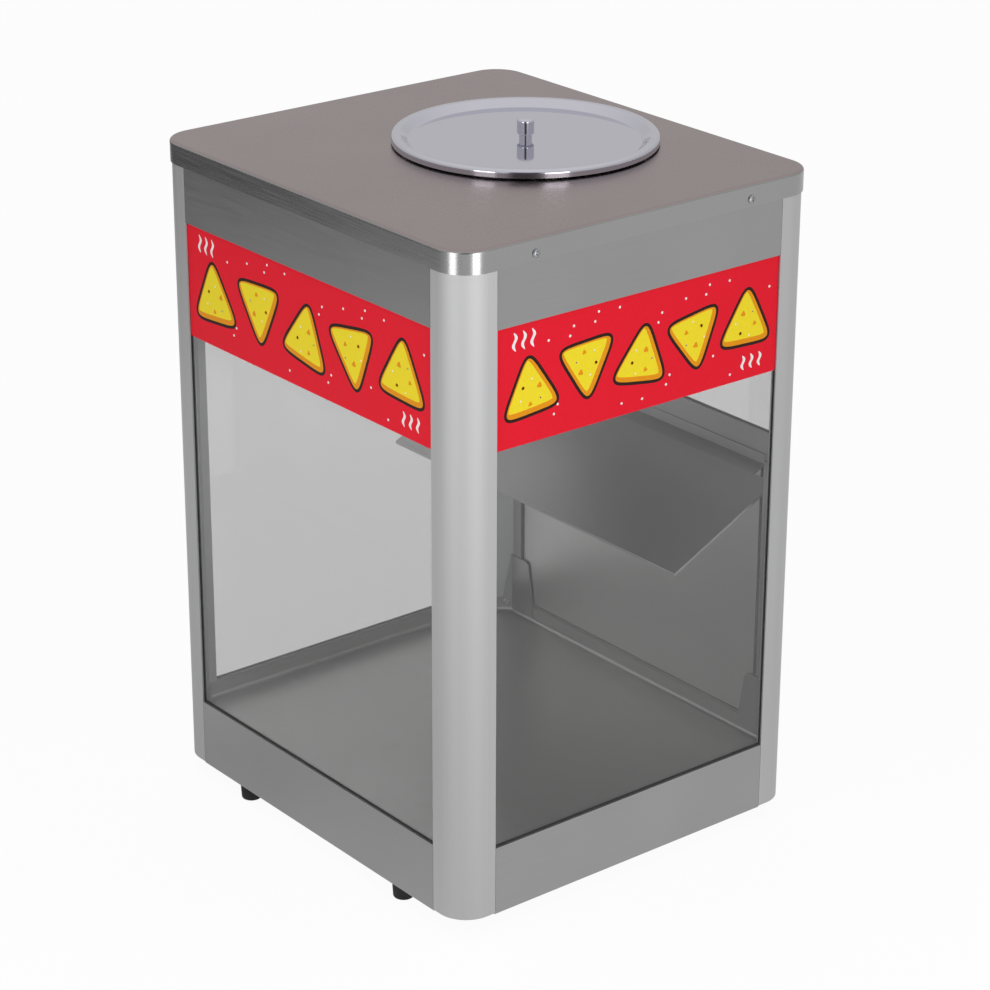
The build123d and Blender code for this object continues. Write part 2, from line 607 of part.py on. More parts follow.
def door_pull():
    """Bent rod pull near the door's free edge."""
    radius, half = PULL_D / 2, (PULL_L - PULL_D) / 2
    leg = PULL_OUT - radius - PULL_R
    grip = Pos(0, leg + PULL_R, -half + PULL_R) * rod(radius, 2 * (half - PULL_R))
    lower = (Pos(0, 0, -half) * along_y(rod(radius, leg))
             + Location((0, leg, -half + PULL_R), (0, 90, 0)) * elbow(PULL_R, radius, 90))
    bar = grip + lower + mirror(lower, about=Plane.XY)
    x = DOOR_HALF_W - PULL_INSET
    return Pos(x, BODY_D / 2, (DOOR_Z0 + DOOR_Z1) / 2) * bar


def door_magnet():
    """Magnet in the sill, just under the closed door's free corner."""
    top = DOOR_Z0 - MAGNET_GAP
    return Pos(MAGNET_X, 0, 0) * block(-MAGNET_L / 2, WALL, top - MAGNET_H, MAGNET_L / 2,
                                       SLOT_BACK, top)


# ---- Roof and lid ---------------------------------------------------------------------------
def top_cover():
    """Pressed roof pan that drops over the posts, with the fill hole and four screw holes."""
    outline = RectangleRounded(COVER_W, COVER_D, POST_R + COVER_GAP + COVER_T)
    solid = extrude(outline, COVER_LIP)
    solid = fillet(solid.faces().sort_by(Axis.Z)[-1].edges(), COVER_BEND_R)
    pan = offset(solid, amount=-COVER_T, openings=solid.faces().sort_by(Axis.Z)[0])
    pan = Pos(0, 0, COVER_TOP - COVER_LIP) * pan
    hole = COLLAR_R + COLLAR_T + COLLAR_CLEAR
    pan -= Pos(0, LID_Y, COVER_TOP - COVER_LIP) * rod(hole, 2 * COVER_LIP)
    return pan - cover_screw_holes()


def cover_screw_places():
    """Where the cover's screws enter its left and right lips, each pointing outwards."""
    face = BODY_W / 2 + COVER_GAP + COVER_T
    z = COVER_TOP - COVER_SCREW_DROP
    return [Location((side * face, y, z), (0, side * 90, 0))
            for side in (-1, 1) for y in (-COVER_SCREW_Y, COVER_SCREW_Y)]


def cover_screw_holes():
    """Cutters for the cover's screws."""
    cutter = Pos(0, 0, -2 * SCREW_L) * rod(SCREW_HOLE_R, 3 * SCREW_L)
    return [place * cutter for place in cover_screw_places()]


def at_lid(piece):
    """Move a piece from the lid's axis, with z = 0 on the cover's top, to its place."""
    return Pos(0, LID_Y, COVER_TOP) * piece


def fill_collar():
    """Flanged tube that guides the chips through the roof."""
    outer = COLLAR_R + COLLAR_T
    section = (rect(COLLAR_R, -COLLAR_DEPTH, outer, COLLAR_T)
               + rect(COLLAR_R, 0, outer + COLLAR_FLANGE, COLLAR_T))
    throat = section.vertices().sort_by(lambda vertex: vertex.Y - vertex.X)[-1]
    return at_lid(revolve(Plane.XZ * fillet(throat, COLLAR_T / 2), Axis.Z))


def lid_dish():
    """Spun lid: flat floor, rising wall and a rolled rim that turns down outside."""
    floor = COLLAR_T + LID_SEAT
    top = floor + LID_T + LID_RISE
    path = FilletPolyline((0, floor), (LID_FLOOR_R, floor), (LID_R - LID_RIM_W, top - LID_T),
                          (LID_R - LID_T, top - LID_T), (LID_R - LID_T, LID_HEM),
                          radius=[LID_FLOOR_BEND_R, LID_RIM_BEND_R, LID_RIM_BEND_R])
    section = make_face(offset(path, LID_T, side=Side.LEFT))
    return at_lid(revolve(Plane.XZ * section, Axis.Z))


def lid_ring():
    """Locating ring welded under the lid, a loose fit in the collar."""
    top = COLLAR_T + LID_SEAT
    section = (rect(LID_RING_R - LID_T, top - LID_RING_H, LID_RING_R, top)
               + rect(LID_RING_R - LID_RING_FLANGE, top - LID_T, LID_RING_R, top))
    return at_lid(revolve(Plane.XZ * section, Axis.Z))


def lid_knob():
    """Turned knob on a short neck."""
    neck = rod(KNOB_NECK_D / 2, KNOB_NECK_H)
    head = Pos(0, 0, KNOB_NECK_H) * rod(KNOB_D / 2, KNOB_H)
    head = fillet(head.edges().sort_by(Axis.Z)[-1], KNOB_TOP_R)
    head = fillet(head.edges().sort_by(Axis.Z)[0], KNOB_FOOT_R)
    knob = neck + head - rod(SCREW_D / 2 + PIN_CLEAR, KNOB_NECK_H + KNOB_H / 2)
    return at_lid(Pos(0, 0, COLLAR_T + LID_SEAT + LID_T) * knob)


def lid_screw():
    """Screw from below that holds the knob."""
    screw = Rot(180, 0, 0) * pan_head_screw(LID_T + KNOB_NECK_H + KNOB_H / 2 - SCREW_BLIND)
    return at_lid(Pos(0, 0, COLLAR_T + LID_SEAT) * screw)


# ---- Feet and fasteners ---------------------------------------------------------------------
def foot():
    """Rubber foot with a recess for its screw, on z = 0 at the surface."""
    height = FOOT_H - PANEL_DROP
    body = Cone(FOOT_D / 2, FOOT_TOP_D / 2, height, align=(Align.CENTER, Align.CENTER, Align.MIN))
    body = fillet(body.edges().sort_by(Axis.Z)[0], FOOT_EDGE_R)
    return body - rod(FOOT_RECESS_D / 2, FOOT_RECESS_H) - rod(SCREW_HOLE_R, FOOT_H)


def foot_places():
    """Plan places of the feet."""
    y = BODY_D / 2 - FOOT_INSET
    return {"front_left": (-FOOT_X, -y), "front_right": (FOOT_X, -y),
            "rear_left": (-FOOT_X, y), "rear_right": (FOOT_X, y)}


def foot_hole(x, y):
    """A cutter for a foot's screw through the panel's flange and the bottom plate."""
    return Pos(x, y, -PANEL_DROP - CUT_OVER) * rod(SCREW_HOLE_R, WALL + PLATE_T + 2 * CUT_OVER)


def foot_fasteners():
    """A screw up through each foot, with its nut on the bottom plate."""
    pieces = []
    seat = FOOT_RECESS_H - FOOT_H
    nut = extrude(RegularPolygon(NUT_AF / 2, 6, major_radius=False)
                  - Circle(SCREW_D / 2 + PIN_CLEAR), NUT_H)
    for x, y in foot_places().values():
        screw = Rot(180, 0, 0) * pan_head_screw(PLATE_TOP + NUT_H + SCREW_PROUD - seat)
        pieces += [Pos(x, y, seat) * screw, Pos(x, y, PLATE_TOP) * nut]
    return pieces


def panel_screws():
    """The short pan head screws: four in the cover and one in each bracket."""
    screw = pan_head_screw(SCREW_L)
    pieces = [place * screw for place in cover_screw_places()]
    pieces += [place * pan_head_screw(BRACKET_SCREW_L) for place in bracket_screw_places()]
    return pieces


def bracket_screw_places():
    """Where a screw goes through each bracket's post wing, pointing into the room."""
    cut = POST_CUT + (PAN_CLEAR + PAN_T + BRACKET_T) * sqrt(2)
    pan_face = PAN_V + PAN_T
    fold_u = POST_CUT + (PAN_CLEAR + PAN_T) * sqrt(2) - pan_face
    u = fold_u - BRACKET_SCREW_OFF / sqrt(2) + BRACKET_T / sqrt(2)
    v = cut - u
    z = FLOOR_H + BRACKET_LIFT + BRACKET_SCREW_UP
    right = Plane((BODY_W / 2 - u, BODY_D / 2 - v, z), x_dir=(0, 0, 1), z_dir=(-1, -1, 0))
    left = Plane((-BODY_W / 2 + u, BODY_D / 2 - v, z), x_dir=(0, 0, 1), z_dir=(1, -1, 0))
    return [right.location, left.location]


def bracket_screw_holes():
    """Cutters for the brackets' screws."""
    cutter = Pos(0, 0, -SCREW_L) * rod(SCREW_HOLE_R, 2 * SCREW_L)
    return [place * cutter for place in bracket_screw_places()]


# ---- Heating and controls -------------------------------------------------------------------
def element_runs():
    """Places of the element's straight runs behind the cabinet's middle."""
    first = ELEMENT_Y - ELEMENT_PITCH * (ELEMENT_RUNS - 1) / 2
    return [first + ELEMENT_PITCH * index for index in range(ELEMENT_RUNS)]


def heating_element():
    """Sheathed element bent to and fro under the floor pan, with a tail towards the back."""
    half, bar, bend = ELEMENT_RUN / 2, ELEMENT_D / 2, ELEMENT_PITCH / 2
    run = Rot(0, 90, 0) * rod(bar, ELEMENT_RUN)
    places = element_runs()
    element = [Pos(-half, y, 0) * run for y in places]
    side = 1
    for y in places[:-1]:
        element.append(Location((side * half, y + bend, 0), (0, 0, -90 * side)) * elbow(bend, bar, 180))
        side = -side
    last_y = places[-1] + bend
    start = -90 if side > 0 else 180
    element.append(Location((side * half, last_y, 0), (0, 0, start)) * elbow(bend, bar, 90))
    element.append(Location((side * (half + bend), last_y, 0), (-90, 0, 0)) * rod(bar, ELEMENT_TAIL))
    return Pos(0, 0, ELEMENT_Z) * (element[0] + element[1:])


def element_clamp():
    """Strap over the element, spot welded to the underside of the floor pan."""
    inner = ELEMENT_D / 2 + ELEMENT_GAP
    outer = inner + CLAMP_T
    centre = -ELEMENT_GAP - ELEMENT_D / 2
    saddle = Pos(0, centre) * (Circle(outer) - Circle(inner)) - rect(-outer, centre, outer, outer)
    sides = rect(-outer, centre, -inner, 0) + rect(inner, centre, outer, 0)
    feet = (rect(-outer - CLAMP_FOOT, -CLAMP_T, -inner, 0)
            + rect(inner, -CLAMP_T, outer + CLAMP_FOOT, 0))
    return Pos(0, 0, PAN_UNDER) * extrude(Plane.YZ * (saddle + sides + feet), CLAMP_W / 2, both=True)


def element_clamps():
    """Two clamps on every run."""
    return [Pos(x, y, 0) * element_clamp() for x in (-CLAMP_X, CLAMP_X) for y in element_runs()]


def heat_shield():
    """Folded plate that stands on the bottom plate under the element."""
    top = ELEMENT_Z - ELEMENT_D / 2 - SHIELD_GAP
    half = SHIELD_W / 2
    section = (rect(-half, top - SHIELD_T, half, top)
               + rect(-half, PLATE_TOP, -half + SHIELD_T, top) + rect(half - SHIELD_T, PLATE_TOP, half, top)
               + rect(-half - SHIELD_FOOT, PLATE_TOP, -half + SHIELD_T, PLATE_TOP + SHIELD_T)
               + rect(half - SHIELD_T, PLATE_TOP, half + SHIELD_FOOT, PLATE_TOP + SHIELD_T))
    return Pos(0, ELEMENT_Y, 0) * extrude(Plane.XZ * section, SHIELD_D / 2, both=True)


def at_control(piece, x):
    """Move a control from its own axis, with y = 0 on the back face and +y outwards."""
    return Pos(x, BODY_D / 2, CONTROL_Z) * piece


def along_y(piece):
    """Turn a piece that points along +z so that it points out of the back."""
    return Rot(-90, 0, 0) * piece


def thermostat():
    """Capillary thermostat's body with a threaded bush through the panel."""
    body = Pos(0, -WALL - STAT_T / 2, 0) * Box(STAT_W, STAT_T, STAT_H)
    body = fillet(body.edges().filter_by(Axis.Y), STAT_R)
    bush = Pos(0, -WALL, 0) * along_y(rod(BUSH_D / 2, WALL + BUSH_OUT))
    deep = WALL + SPINDLE_IN + SPINDLE_END
    bore = Pos(0, -deep, 0) * along_y(rod(SPINDLE_D / 2 + PIN_CLEAR, deep + BUSH_OUT + CUT_OVER))
    return at_control(body + bush - bore, KNOB_X)


def d_shaft(radius, length):
    """A round shaft with a flat."""
    flat = radius * SPINDLE_FLAT
    return rod(radius, length) - block(flat, -radius, -CUT_OVER, 2 * radius, radius, length + CUT_OVER)


def thermostat_spindle():
    """Spindle with a flat for the dial."""
    deep = WALL + SPINDLE_IN
    round_part = Pos(0, -deep, 0) * along_y(rod(SPINDLE_D / 2, deep + BUSH_OUT))
    flat_part = along_y(Pos(0, 0, BUSH_OUT) * d_shaft(SPINDLE_D / 2, SPINDLE_OUT - BUSH_OUT))
    return at_control(round_part + flat_part, KNOB_X)


def thermostat_dial():
    """Dial with a skirt, a grip bar, a pointer and a seat for the spindle."""
    skirt = rod(DIAL_D / 2, DIAL_SKIRT_T)
    skirt = chamfer(skirt.edges().sort_by(Axis.Z)[-1], DIAL_SKIRT_CUT)
    grip = Pos(0, 0, DIAL_SKIRT_T) * rod(DIAL_GRIP_D / 2, DIAL_T - DIAL_SKIRT_T)
    foot_z = DIAL_SKIRT_T + DIAL_BAR_FOOT
    beside = Box(DIAL_D, 2 * DIAL_D, 2 * (DIAL_T - foot_z))
    for side in (-1, 1):
        grip -= Pos(side * (DIAL_BAR_W + DIAL_D) / 2, 0, DIAL_T) * beside
    pointer = block(-POINTER_W / 2, POINTER_INSET - DIAL_D / 2, DIAL_SKIRT_T - POINTER_SINK,
                    POINTER_W / 2, POINTER_LAP - DIAL_GRIP_D / 2, DIAL_SKIRT_T + POINTER_RISE)
    seat = CUT_OVER + SPINDLE_OUT - DIAL_OUT + SPINDLE_END
    dial = skirt + grip + pointer - Pos(0, 0, -CUT_OVER) * d_shaft(SPINDLE_D / 2 + PIN_CLEAR, seat)
    return at_control(Pos(0, DIAL_OUT, 0) * along_y(dial), KNOB_X)


def switch_housing():
    """Rocker switch's body with a bezel and an open well."""
    well_w, well_h = SWITCH_W - 2 * SWITCH_WALL, SWITCH_H - 2 * SWITCH_WALL
    half_w, half_h = SWITCH_W / 2 + SWITCH_BEZEL_W, SWITCH_H / 2 + SWITCH_BEZEL_W
    body = block(-SWITCH_W / 2, -SWITCH_DEPTH, -SWITCH_H / 2, SWITCH_W / 2, 0, SWITCH_H / 2)
    bezel = block(-half_w, 0, -half_h, half_w, SWITCH_BEZEL, half_h)
    bezel = fillet(bezel.edges().filter_by(Axis.Y), SWITCH_BEZEL_W)
    well = block(-well_w / 2, -SWITCH_DEPTH + SWITCH_FLOOR, -well_h / 2, well_w / 2,
                 SWITCH_BEZEL + CUT_OVER, well_h / 2)
    reach = SWITCH_W / 2 - TRUNNION_INSET + TRUNNION_END
    hole = Location((-reach, -ROCKER_SINK, 0), (0, 90, 0)) * rod(
        ROCKER_PIN_D / 2 + PIN_CLEAR, 2 * reach)
    return at_control(body + bezel - well - hole, SWITCH_X)


def switch_rocker():
    """Rocker on two trunnions, resting with its upper end proud."""
    half_w = SWITCH_W / 2 - SWITCH_WALL - ROCKER_GAP
    half_h = SWITCH_H / 2 - SWITCH_WALL - ROCKER_SWING
    front = ROCKER_SINK + SWITCH_BEZEL + ROCKER_PROUD
    face = Polygon((-ROCKER_BACK, -half_h * ROCKER_TAPER), (front, -half_h), (front - ROCKER_DISH, 0),
                   (front, half_h), (-ROCKER_BACK, half_h * ROCKER_TAPER), align=None)
    body = extrude(Plane.YZ * face, half_w, both=True)
    reach = SWITCH_W / 2 - TRUNNION_INSET
    trunnion = Location((-reach, 0, 0), (0, 90, 0)) * rod(ROCKER_PIN_D / 2, 2 * reach)
    rocker = Rot(-ROCKER_TILT, 0, 0) * (body + trunnion)
    return at_control(Pos(0, -ROCKER_SINK, 0) * rocker, SWITCH_X)


def pilot_lamp():
    """Neon pilot lamp with a domed lens."""
    body = Pos(0, -LAMP_L, 0) * along_y(rod(LAMP_D / 2, LAMP_L))
    lens = rod(LAMP_FLANGE_D / 2, LAMP_LENS_H)
    lens = fillet(lens.edges().sort_by(Axis.Z)[-1], LAMP_LENS_R)
    return at_control(body + along_y(lens), LAMP_X)


def power_inlet():
    """Flanged appliance inlet with three pins in its socket."""
    flange = block(-INLET_FLANGE_W / 2, 0, -INLET_FLANGE_H / 2, INLET_FLANGE_W / 2,
                   INLET_FLANGE_T, INLET_FLANGE_H / 2)
    flange = fillet(flange.edges().filter_by(Axis.Y), INLET_FLANGE_R)
    body = block(-INLET_W / 2, -INLET_DEPTH + INLET_FLANGE_T, -INLET_H / 2, INLET_W / 2, 0, INLET_H / 2)
    floor = INLET_FLANGE_T - SOCKET_DEPTH
    well = block(-SOCKET_W / 2, floor, -SOCKET_H / 2, SOCKET_W / 2, INLET_FLANGE_T + CUT_OVER,
                 SOCKET_H / 2)
    well = chamfer(well.edges().filter_by(Axis.Y).sort_by(Axis.Z)[-2:], SOCKET_CUT)
    inlet = flange + body - well
    for x, z in ((-PIN_PITCH, -PIN_LOW), (0, PIN_HIGH), (PIN_PITCH, -PIN_LOW)):
        inlet += block(x - PIN_W / 2, floor - PIN_ROOT, z - PIN_H / 2, x + PIN_W / 2, floor + PIN_L,
                       z + PIN_H / 2)
    return at_control(inlet, INLET_X)


def terminal_block():
    """Terminal strip on the bottom plate, one screw well to each way."""
    ridge = BLOCK_RIDGE_W / 2
    strip = (block(-BLOCK_L / 2, -BLOCK_W / 2, 0, BLOCK_L / 2, BLOCK_W / 2, BLOCK_SHOULDER_H)
             + block(-BLOCK_L / 2, -ridge, 0, BLOCK_L / 2, ridge, BLOCK_H))
    pitch = BLOCK_L / BLOCK_WAYS
    for index in range(BLOCK_WAYS):
        x = (index - (BLOCK_WAYS - 1) / 2) * pitch
        strip -= Pos(x, 0, BLOCK_H - BLOCK_WELL_DEPTH) * rod(BLOCK_WELL_D / 2, BLOCK_WELL_DEPTH)
    return Pos((LAMP_X + SWITCH_X) / 2, BODY_D / 2 - BLOCK_INSET, PLATE_TOP) * strip


# ---- Assembly -------------------------------------------------------------------------------
def frame_nodes():
    """Posts, panels, rails and the plates that close the base."""
    rear_right = corner_post() - bracket_screw_holes()
    front_right = mirror(corner_post(), about=Plane.XZ)
    nodes = {
        "post_rear_right": rear_right,
        "post_rear_left": mirror(rear_right, about=Plane.YZ),
        "post_front_right": front_right,
        "post_front_left": mirror(front_right, about=Plane.YZ),
    }
    feet = [foot_hole(x, y) for x, y in foot_places().values()]
    for side in ("front", "right", "left"):
        nodes["base_panel_" + side] = on_wall(base_panel(side), side)
    nodes["base_panel_rear"] = on_wall(rear_base_panel(), "rear")
    for side in ("front", "rear"):
        nodes["base_panel_" + side] -= feet
    for side in ("front", "rear", "right", "left"):
        nodes["header_" + side] = on_wall(header(side), side)
    for side in ("right", "left"):
        nodes["header_" + side] -= cover_screw_holes()
    nodes["rear_mid_rail"] = on_wall(mid_rail(), "rear")
    nodes["bottom_plate"] = bottom_plate() - feet
    nodes["floor_pan"] = floor_pan() - bracket_screw_holes()
    return nodes


def glazing_nodes():
    """Panes, their gaskets and the two sign films."""
    nodes = {}
    for side in ("front", "right", "left", "rear"):
        sill = RAIL_TOP if side == "rear" else BASE_H
        nodes["glass_" + side] = on_wall(glass(side, sill), side)
        nodes["gasket_" + side] = on_wall(gasket(side, sill), side)
    for side in ("front", "right"):
        nodes["sign_" + side] = on_wall(sign(side), side)
    return nodes


def chamber_nodes():
    """Baffle, its carrier and the rear corner brackets."""
    right = bracket() - bracket_screw_holes()
    return {
        "baffle": baffle(),
        "baffle_carrier": baffle_carrier(),
        "corner_bracket_right": right,
        "corner_bracket_left": mirror(right, about=Plane.YZ),
    }


def door_nodes():
    """The service door, its hinges, pull and magnet."""
    frame_leaf = hinge_leaf(-1, HINGE_LEAF_W, (0, 2))
    door_leaf = hinge_leaf(1, HINGE_DOOR_LEAF_W, (1,))
    return {
        "door_skin": on_wall(door_skin(), "rear"),
        "door_liner": on_wall(door_liner(), "rear"),
        "hinge_frame_leaves": at_hinges(frame_leaf),
        "hinge_door_leaves": at_hinges(door_leaf),
        "hinge_pins": at_hinges(hinge_pin()),
        "door_pull": door_pull(),
        "door_magnet": on_wall(door_magnet(), "rear"),
    }


def roof_nodes():
    """Cover, fill collar and lid."""
    dish = lid_dish() - at_lid(rod(SCREW_HOLE_R, COLLAR_DEPTH))
    return {
        "top_cover": top_cover(),
        "fill_collar": fill_collar(),
        "lid_dish": dish,
        "lid_ring": lid_ring(),
        "lid_knob": lid_knob(),
        "lid_screw": lid_screw(),
    }


def base_nodes():
    """Feet, fasteners, heating and controls."""
    nodes = {"foot_" + name: Pos(x, y, -FOOT_H) * foot() for name, (x, y) in foot_places().items()}
    nodes.update({
        "foot_fasteners": foot_fasteners(),
        "panel_screws": panel_screws(),
        "heating_element": heating_element(),
        "element_clamps": element_clamps(),
        "heat_shield": heat_shield(),
        "thermostat": thermostat(),
        "thermostat_spindle": thermostat_spindle(),
        "thermostat_dial": thermostat_dial(),
        "switch_housing": switch_housing(),
        "switch_rocker": switch_rocker(),
        "pilot_lamp": pilot_lamp(),
        "power_inlet": power_inlet(),
        "terminal_block": terminal_block(),
    })
    return nodes


def main():
    """Build every node and write one STEP file for each."""
    os.makedirs("parts", exist_ok=True)
    place = lifted(FOOT_H)
    for build in (frame_nodes, glazing_nodes, chamber_nodes, door_nodes, roof_nodes, base_nodes):
        for name, shape in build().items():
            solids = shape if isinstance(shape, list) else [shape]
            placed = Compound(children=[solid for piece in solids for solid in (place * piece).solids()])
            export_step(placed, "parts/" + name + ".step")


if __name__ == "__main__":
    main()
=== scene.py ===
import json
import logging
import math
from dataclasses import dataclass
from enum import Enum

import bpy
import numpy as np
from bpy.types import ID, Material, Node, NodeSocket, NodeTree, Object
from mathutils import Matrix, Vector


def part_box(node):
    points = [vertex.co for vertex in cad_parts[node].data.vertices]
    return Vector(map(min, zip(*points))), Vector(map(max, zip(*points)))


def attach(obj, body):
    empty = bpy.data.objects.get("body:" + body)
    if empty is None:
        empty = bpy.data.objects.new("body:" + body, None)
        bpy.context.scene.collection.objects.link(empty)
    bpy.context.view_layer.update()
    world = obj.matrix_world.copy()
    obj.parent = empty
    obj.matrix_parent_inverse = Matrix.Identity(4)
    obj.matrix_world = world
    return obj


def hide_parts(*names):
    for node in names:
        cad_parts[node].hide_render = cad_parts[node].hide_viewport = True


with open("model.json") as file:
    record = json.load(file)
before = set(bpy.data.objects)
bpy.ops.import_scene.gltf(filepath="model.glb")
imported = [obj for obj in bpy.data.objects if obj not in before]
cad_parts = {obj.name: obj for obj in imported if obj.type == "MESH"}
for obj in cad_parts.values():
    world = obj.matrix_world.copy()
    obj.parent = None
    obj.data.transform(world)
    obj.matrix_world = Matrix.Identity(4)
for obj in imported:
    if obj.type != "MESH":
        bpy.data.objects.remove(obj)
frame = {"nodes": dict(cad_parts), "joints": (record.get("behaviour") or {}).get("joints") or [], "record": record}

# Looks for a chip warmer: a glazed holding cabinet of satin stainless sheet between anodised corner
# posts, with a mirror polished fill lid, printed films under the headers and a service door behind.
# Lengths are millimetres where a name or a docstring says so, and metres where they meet Blender.

LOG = logging.getLogger("chip_warmer")
MM = 0.001
MADE: dict["Finish", Material] = {}
Pair = tuple[float, float]
Triple = tuple[float, float, float]
# Points, one in a row, and the numbers of the points round each face.
Solid = tuple[np.ndarray, np.ndarray | list]


# ---- Helpers --------------------------------------------------------------------------------
def linear(code: str) -> tuple[float, float, float, float]:
    """Turn an sRGB hex colour into linear light.

    Args:
        code: colour as "#rrggbb".

    Returns:
        Red, green and blue in linear light, and an alpha of 1.
    """
    shares = [int(code[place:place + 2], 16) / 255 for place in (1, 3, 5)]
    light = [c / 12.92 if c <= 0.04045 else ((c + 0.055) / 1.055) ** 2.4 for c in shares]
    return (*light, 1.0)


def add(tree: NodeTree, kind: str, inputs: dict | tuple = (), **settings) -> Node:
    """Add a node with its settings and links.

    Args:
        tree: node tree that gets the node.
        kind: node type after "ShaderNode".
        inputs: what the inputs get, by name or number, or in order from the first. It is a value,
            an output socket that feeds the input, or a node whose first output does.
        settings: properties of the node; "stops" lists a colour ramp's (place, hex colour) pairs.

    Returns:
        The new node.
    """
    node = tree.nodes.new("ShaderNode" + kind)
    stops = settings.pop("stops", ())
    for name, value in settings.items():
        setattr(node, name, value)
    for number, (place, code) in enumerate(stops):
        ramp = node.color_ramp.elements
        stop = ramp[number] if number < 2 else ramp.new(place)
        stop.position = place
        stop.color = linear(code)
    for name, value in inputs.items() if isinstance(inputs, dict) else enumerate(inputs):
        if isinstance(value, Node):
            value = value.outputs[0]
        if isinstance(value, NodeSocket):
            tree.links.new(value, node.inputs[name])
        else:
            node.inputs[name].default_value = value
    return node


def in_scene(name: str, data: ID) -> Object:
    """Make an object and put it in the scene.

    Args:
        name: name of the object.
        data: its mesh, lamp or camera.

    Returns:
        The object.
    """
    made = bpy.data.objects.new(name, data)
    bpy.context.scene.collection.objects.link(made)
    return made


def grid_faces(rows: int, columns: int, wrap: bool = False, loop: bool = False) -> np.ndarray:
    """Number the quads of a grid of points that are kept row by row.

    Args:
        rows: number of rows.
        columns: number of points in a row.
        wrap: whether each row's last point joins its first.
        loop: whether the last row joins the first.

    Returns:
        One row of four point numbers for each quad.
    """
    row, column = np.meshgrid(np.arange(rows if loop else rows - 1),
                              np.arange(columns if wrap else columns - 1), indexing="ij")
    ahead, beside = (row + 1) % rows * columns, (column + 1) % columns
    corners = [row * columns + column, row * columns + beside, ahead + beside, ahead + column]
    return np.stack(corners, axis=-1).reshape(-1, 4)


def turned(direction: Triple) -> np.ndarray:
    """Give the turn that takes +z to a direction.

    Args:
        direction: where +z ends up.

    Returns:
        A 3 x 3 rotation matrix.
    """
    return np.array(Vector(direction).to_track_quat("Z", "Y").to_matrix())


def solids_of(node: str) -> list[np.ndarray]:
    """Split a CAD node's corners into its separate solids.

    Corners at one place count as one, and the lowest number spreads along every triangle's
    edges until no number changes, so that each solid ends up with a number of its own.

    Args:
        node: name of the CAD node.

    Returns:
        One array of points in metres for each solid.
    """
    mesh = frame["nodes"][node].data
    points = np.empty(len(mesh.vertices) * 3)
    mesh.vertices.foreach_get("co", points)
    points = points.reshape(-1, 3)
    corners = np.empty(len(mesh.loops), dtype=int)
    mesh.loops.foreach_get("vertex_index", corners)
    places, same = np.unique(points.round(6), axis=0, return_inverse=True)
    triangles = same.ravel()[corners].reshape(-1, 3)
    label = np.arange(len(places))
    while True:
        lowest = label[triangles].min(axis=1)
        spread = label.copy()
        np.minimum.at(spread, triangles.ravel(), np.repeat(lowest, 3))
        if (spread == label).all():
            return [places[label == one] for one in np.unique(label)]
        label = spread


def middle_of(points: np.ndarray) -> np.ndarray:
    """Give the middle of the box round some points."""
    return (points.max(axis=0) + points.min(axis=0)) / 2


def axis_of(joint: str) -> Triple:
    """Give a point on a joint's axis, in metres."""
    return tuple(next(one for one in frame["joints"] if one["name"] == joint)["pos_m"])


# ---- Finishes -------------------------------------------------------------------------------
# Added to a direction that lies across the grain, so that it is never nothing on a cut end.
OFF_AXIS = (0.011, 0.007, 0.013)


class Grain(Enum):
    """Axis that a brushed or drawn surface's lines run along."""

    X = (1.0, 0.0, 0.0)
    Y = (0.0, 1.0, 0.0)
    Z = (0.0, 0.0, 1.0)


def sized(place: NodeSocket, mm: float, detail: float) -> dict:
    """Give the inputs of a noise whose grains measure about mm millimetres."""
    return {"Vector": place, "Scale": 1 / (mm * MM), "Detail": detail}


def across(tree: NodeTree, grain: Grain) -> Node:
    """Find the direction in the surface that lies across its grain: lights smear out that way.

    Args:
        tree: node tree that gets the nodes.
        grain: axis of the grain.

    Returns:
        The node that gives the direction.
    """
    face = add(tree, "NewGeometry").outputs["Normal"]
    way = add(tree, "VectorMath", (face, grain.value), operation="CROSS_PRODUCT")
    return add(tree, "VectorMath", (way, OFF_AXIS), operation="ADD")


def toned(tree: NodeTree, colour: str | NodeSocket, pattern: Node, levels: Pair, shares: Pair) -> Node:
    """Let a pattern darken and lighten a colour by a few percent.

    Args:
        tree: node tree that gets the nodes.
        colour: hex colour, or the socket that gives one.
        pattern: node that gives the pattern.
        levels: the pattern's low and high level.
        shares: how much of the colour shows at the low and at the high level.

    Returns:
        The node that gives the colour.
    """
    share = add(tree, "MapRange", (pattern, *levels, *shares))
    plain = linear(colour)[:3] if isinstance(colour, str) else colour
    return add(tree, "VectorMath", {0: plain, "Scale": share}, operation="SCALE")


@dataclass(frozen=True)
class Finish:
    """A finish of this cabinet. The subclasses say what it is made of and how its surface was made."""

    name: str

    def material(self) -> Material:
        """Make the finish's material, or give back the one that was made before.

        Returns:
            The material.
        """
        if self not in MADE:
            made = bpy.data.materials.new(self.name)
            made.use_nodes = True
            tree = made.node_tree
            tree.nodes.clear()
            place = add(tree, "TexCoord").outputs["Object"]
            add(tree, "OutputMaterial", {"Surface": self.surface(tree, place)})
            MADE[self] = made
        return MADE[self]

    def surface(self, tree: NodeTree, place: NodeSocket) -> Node:
        """Build the shader nodes.

        Args:
            tree: the material's nodes.
            place: where on the piece a point lies, in metres.

        Returns:
            The last shader.
        """
        raise NotImplementedError


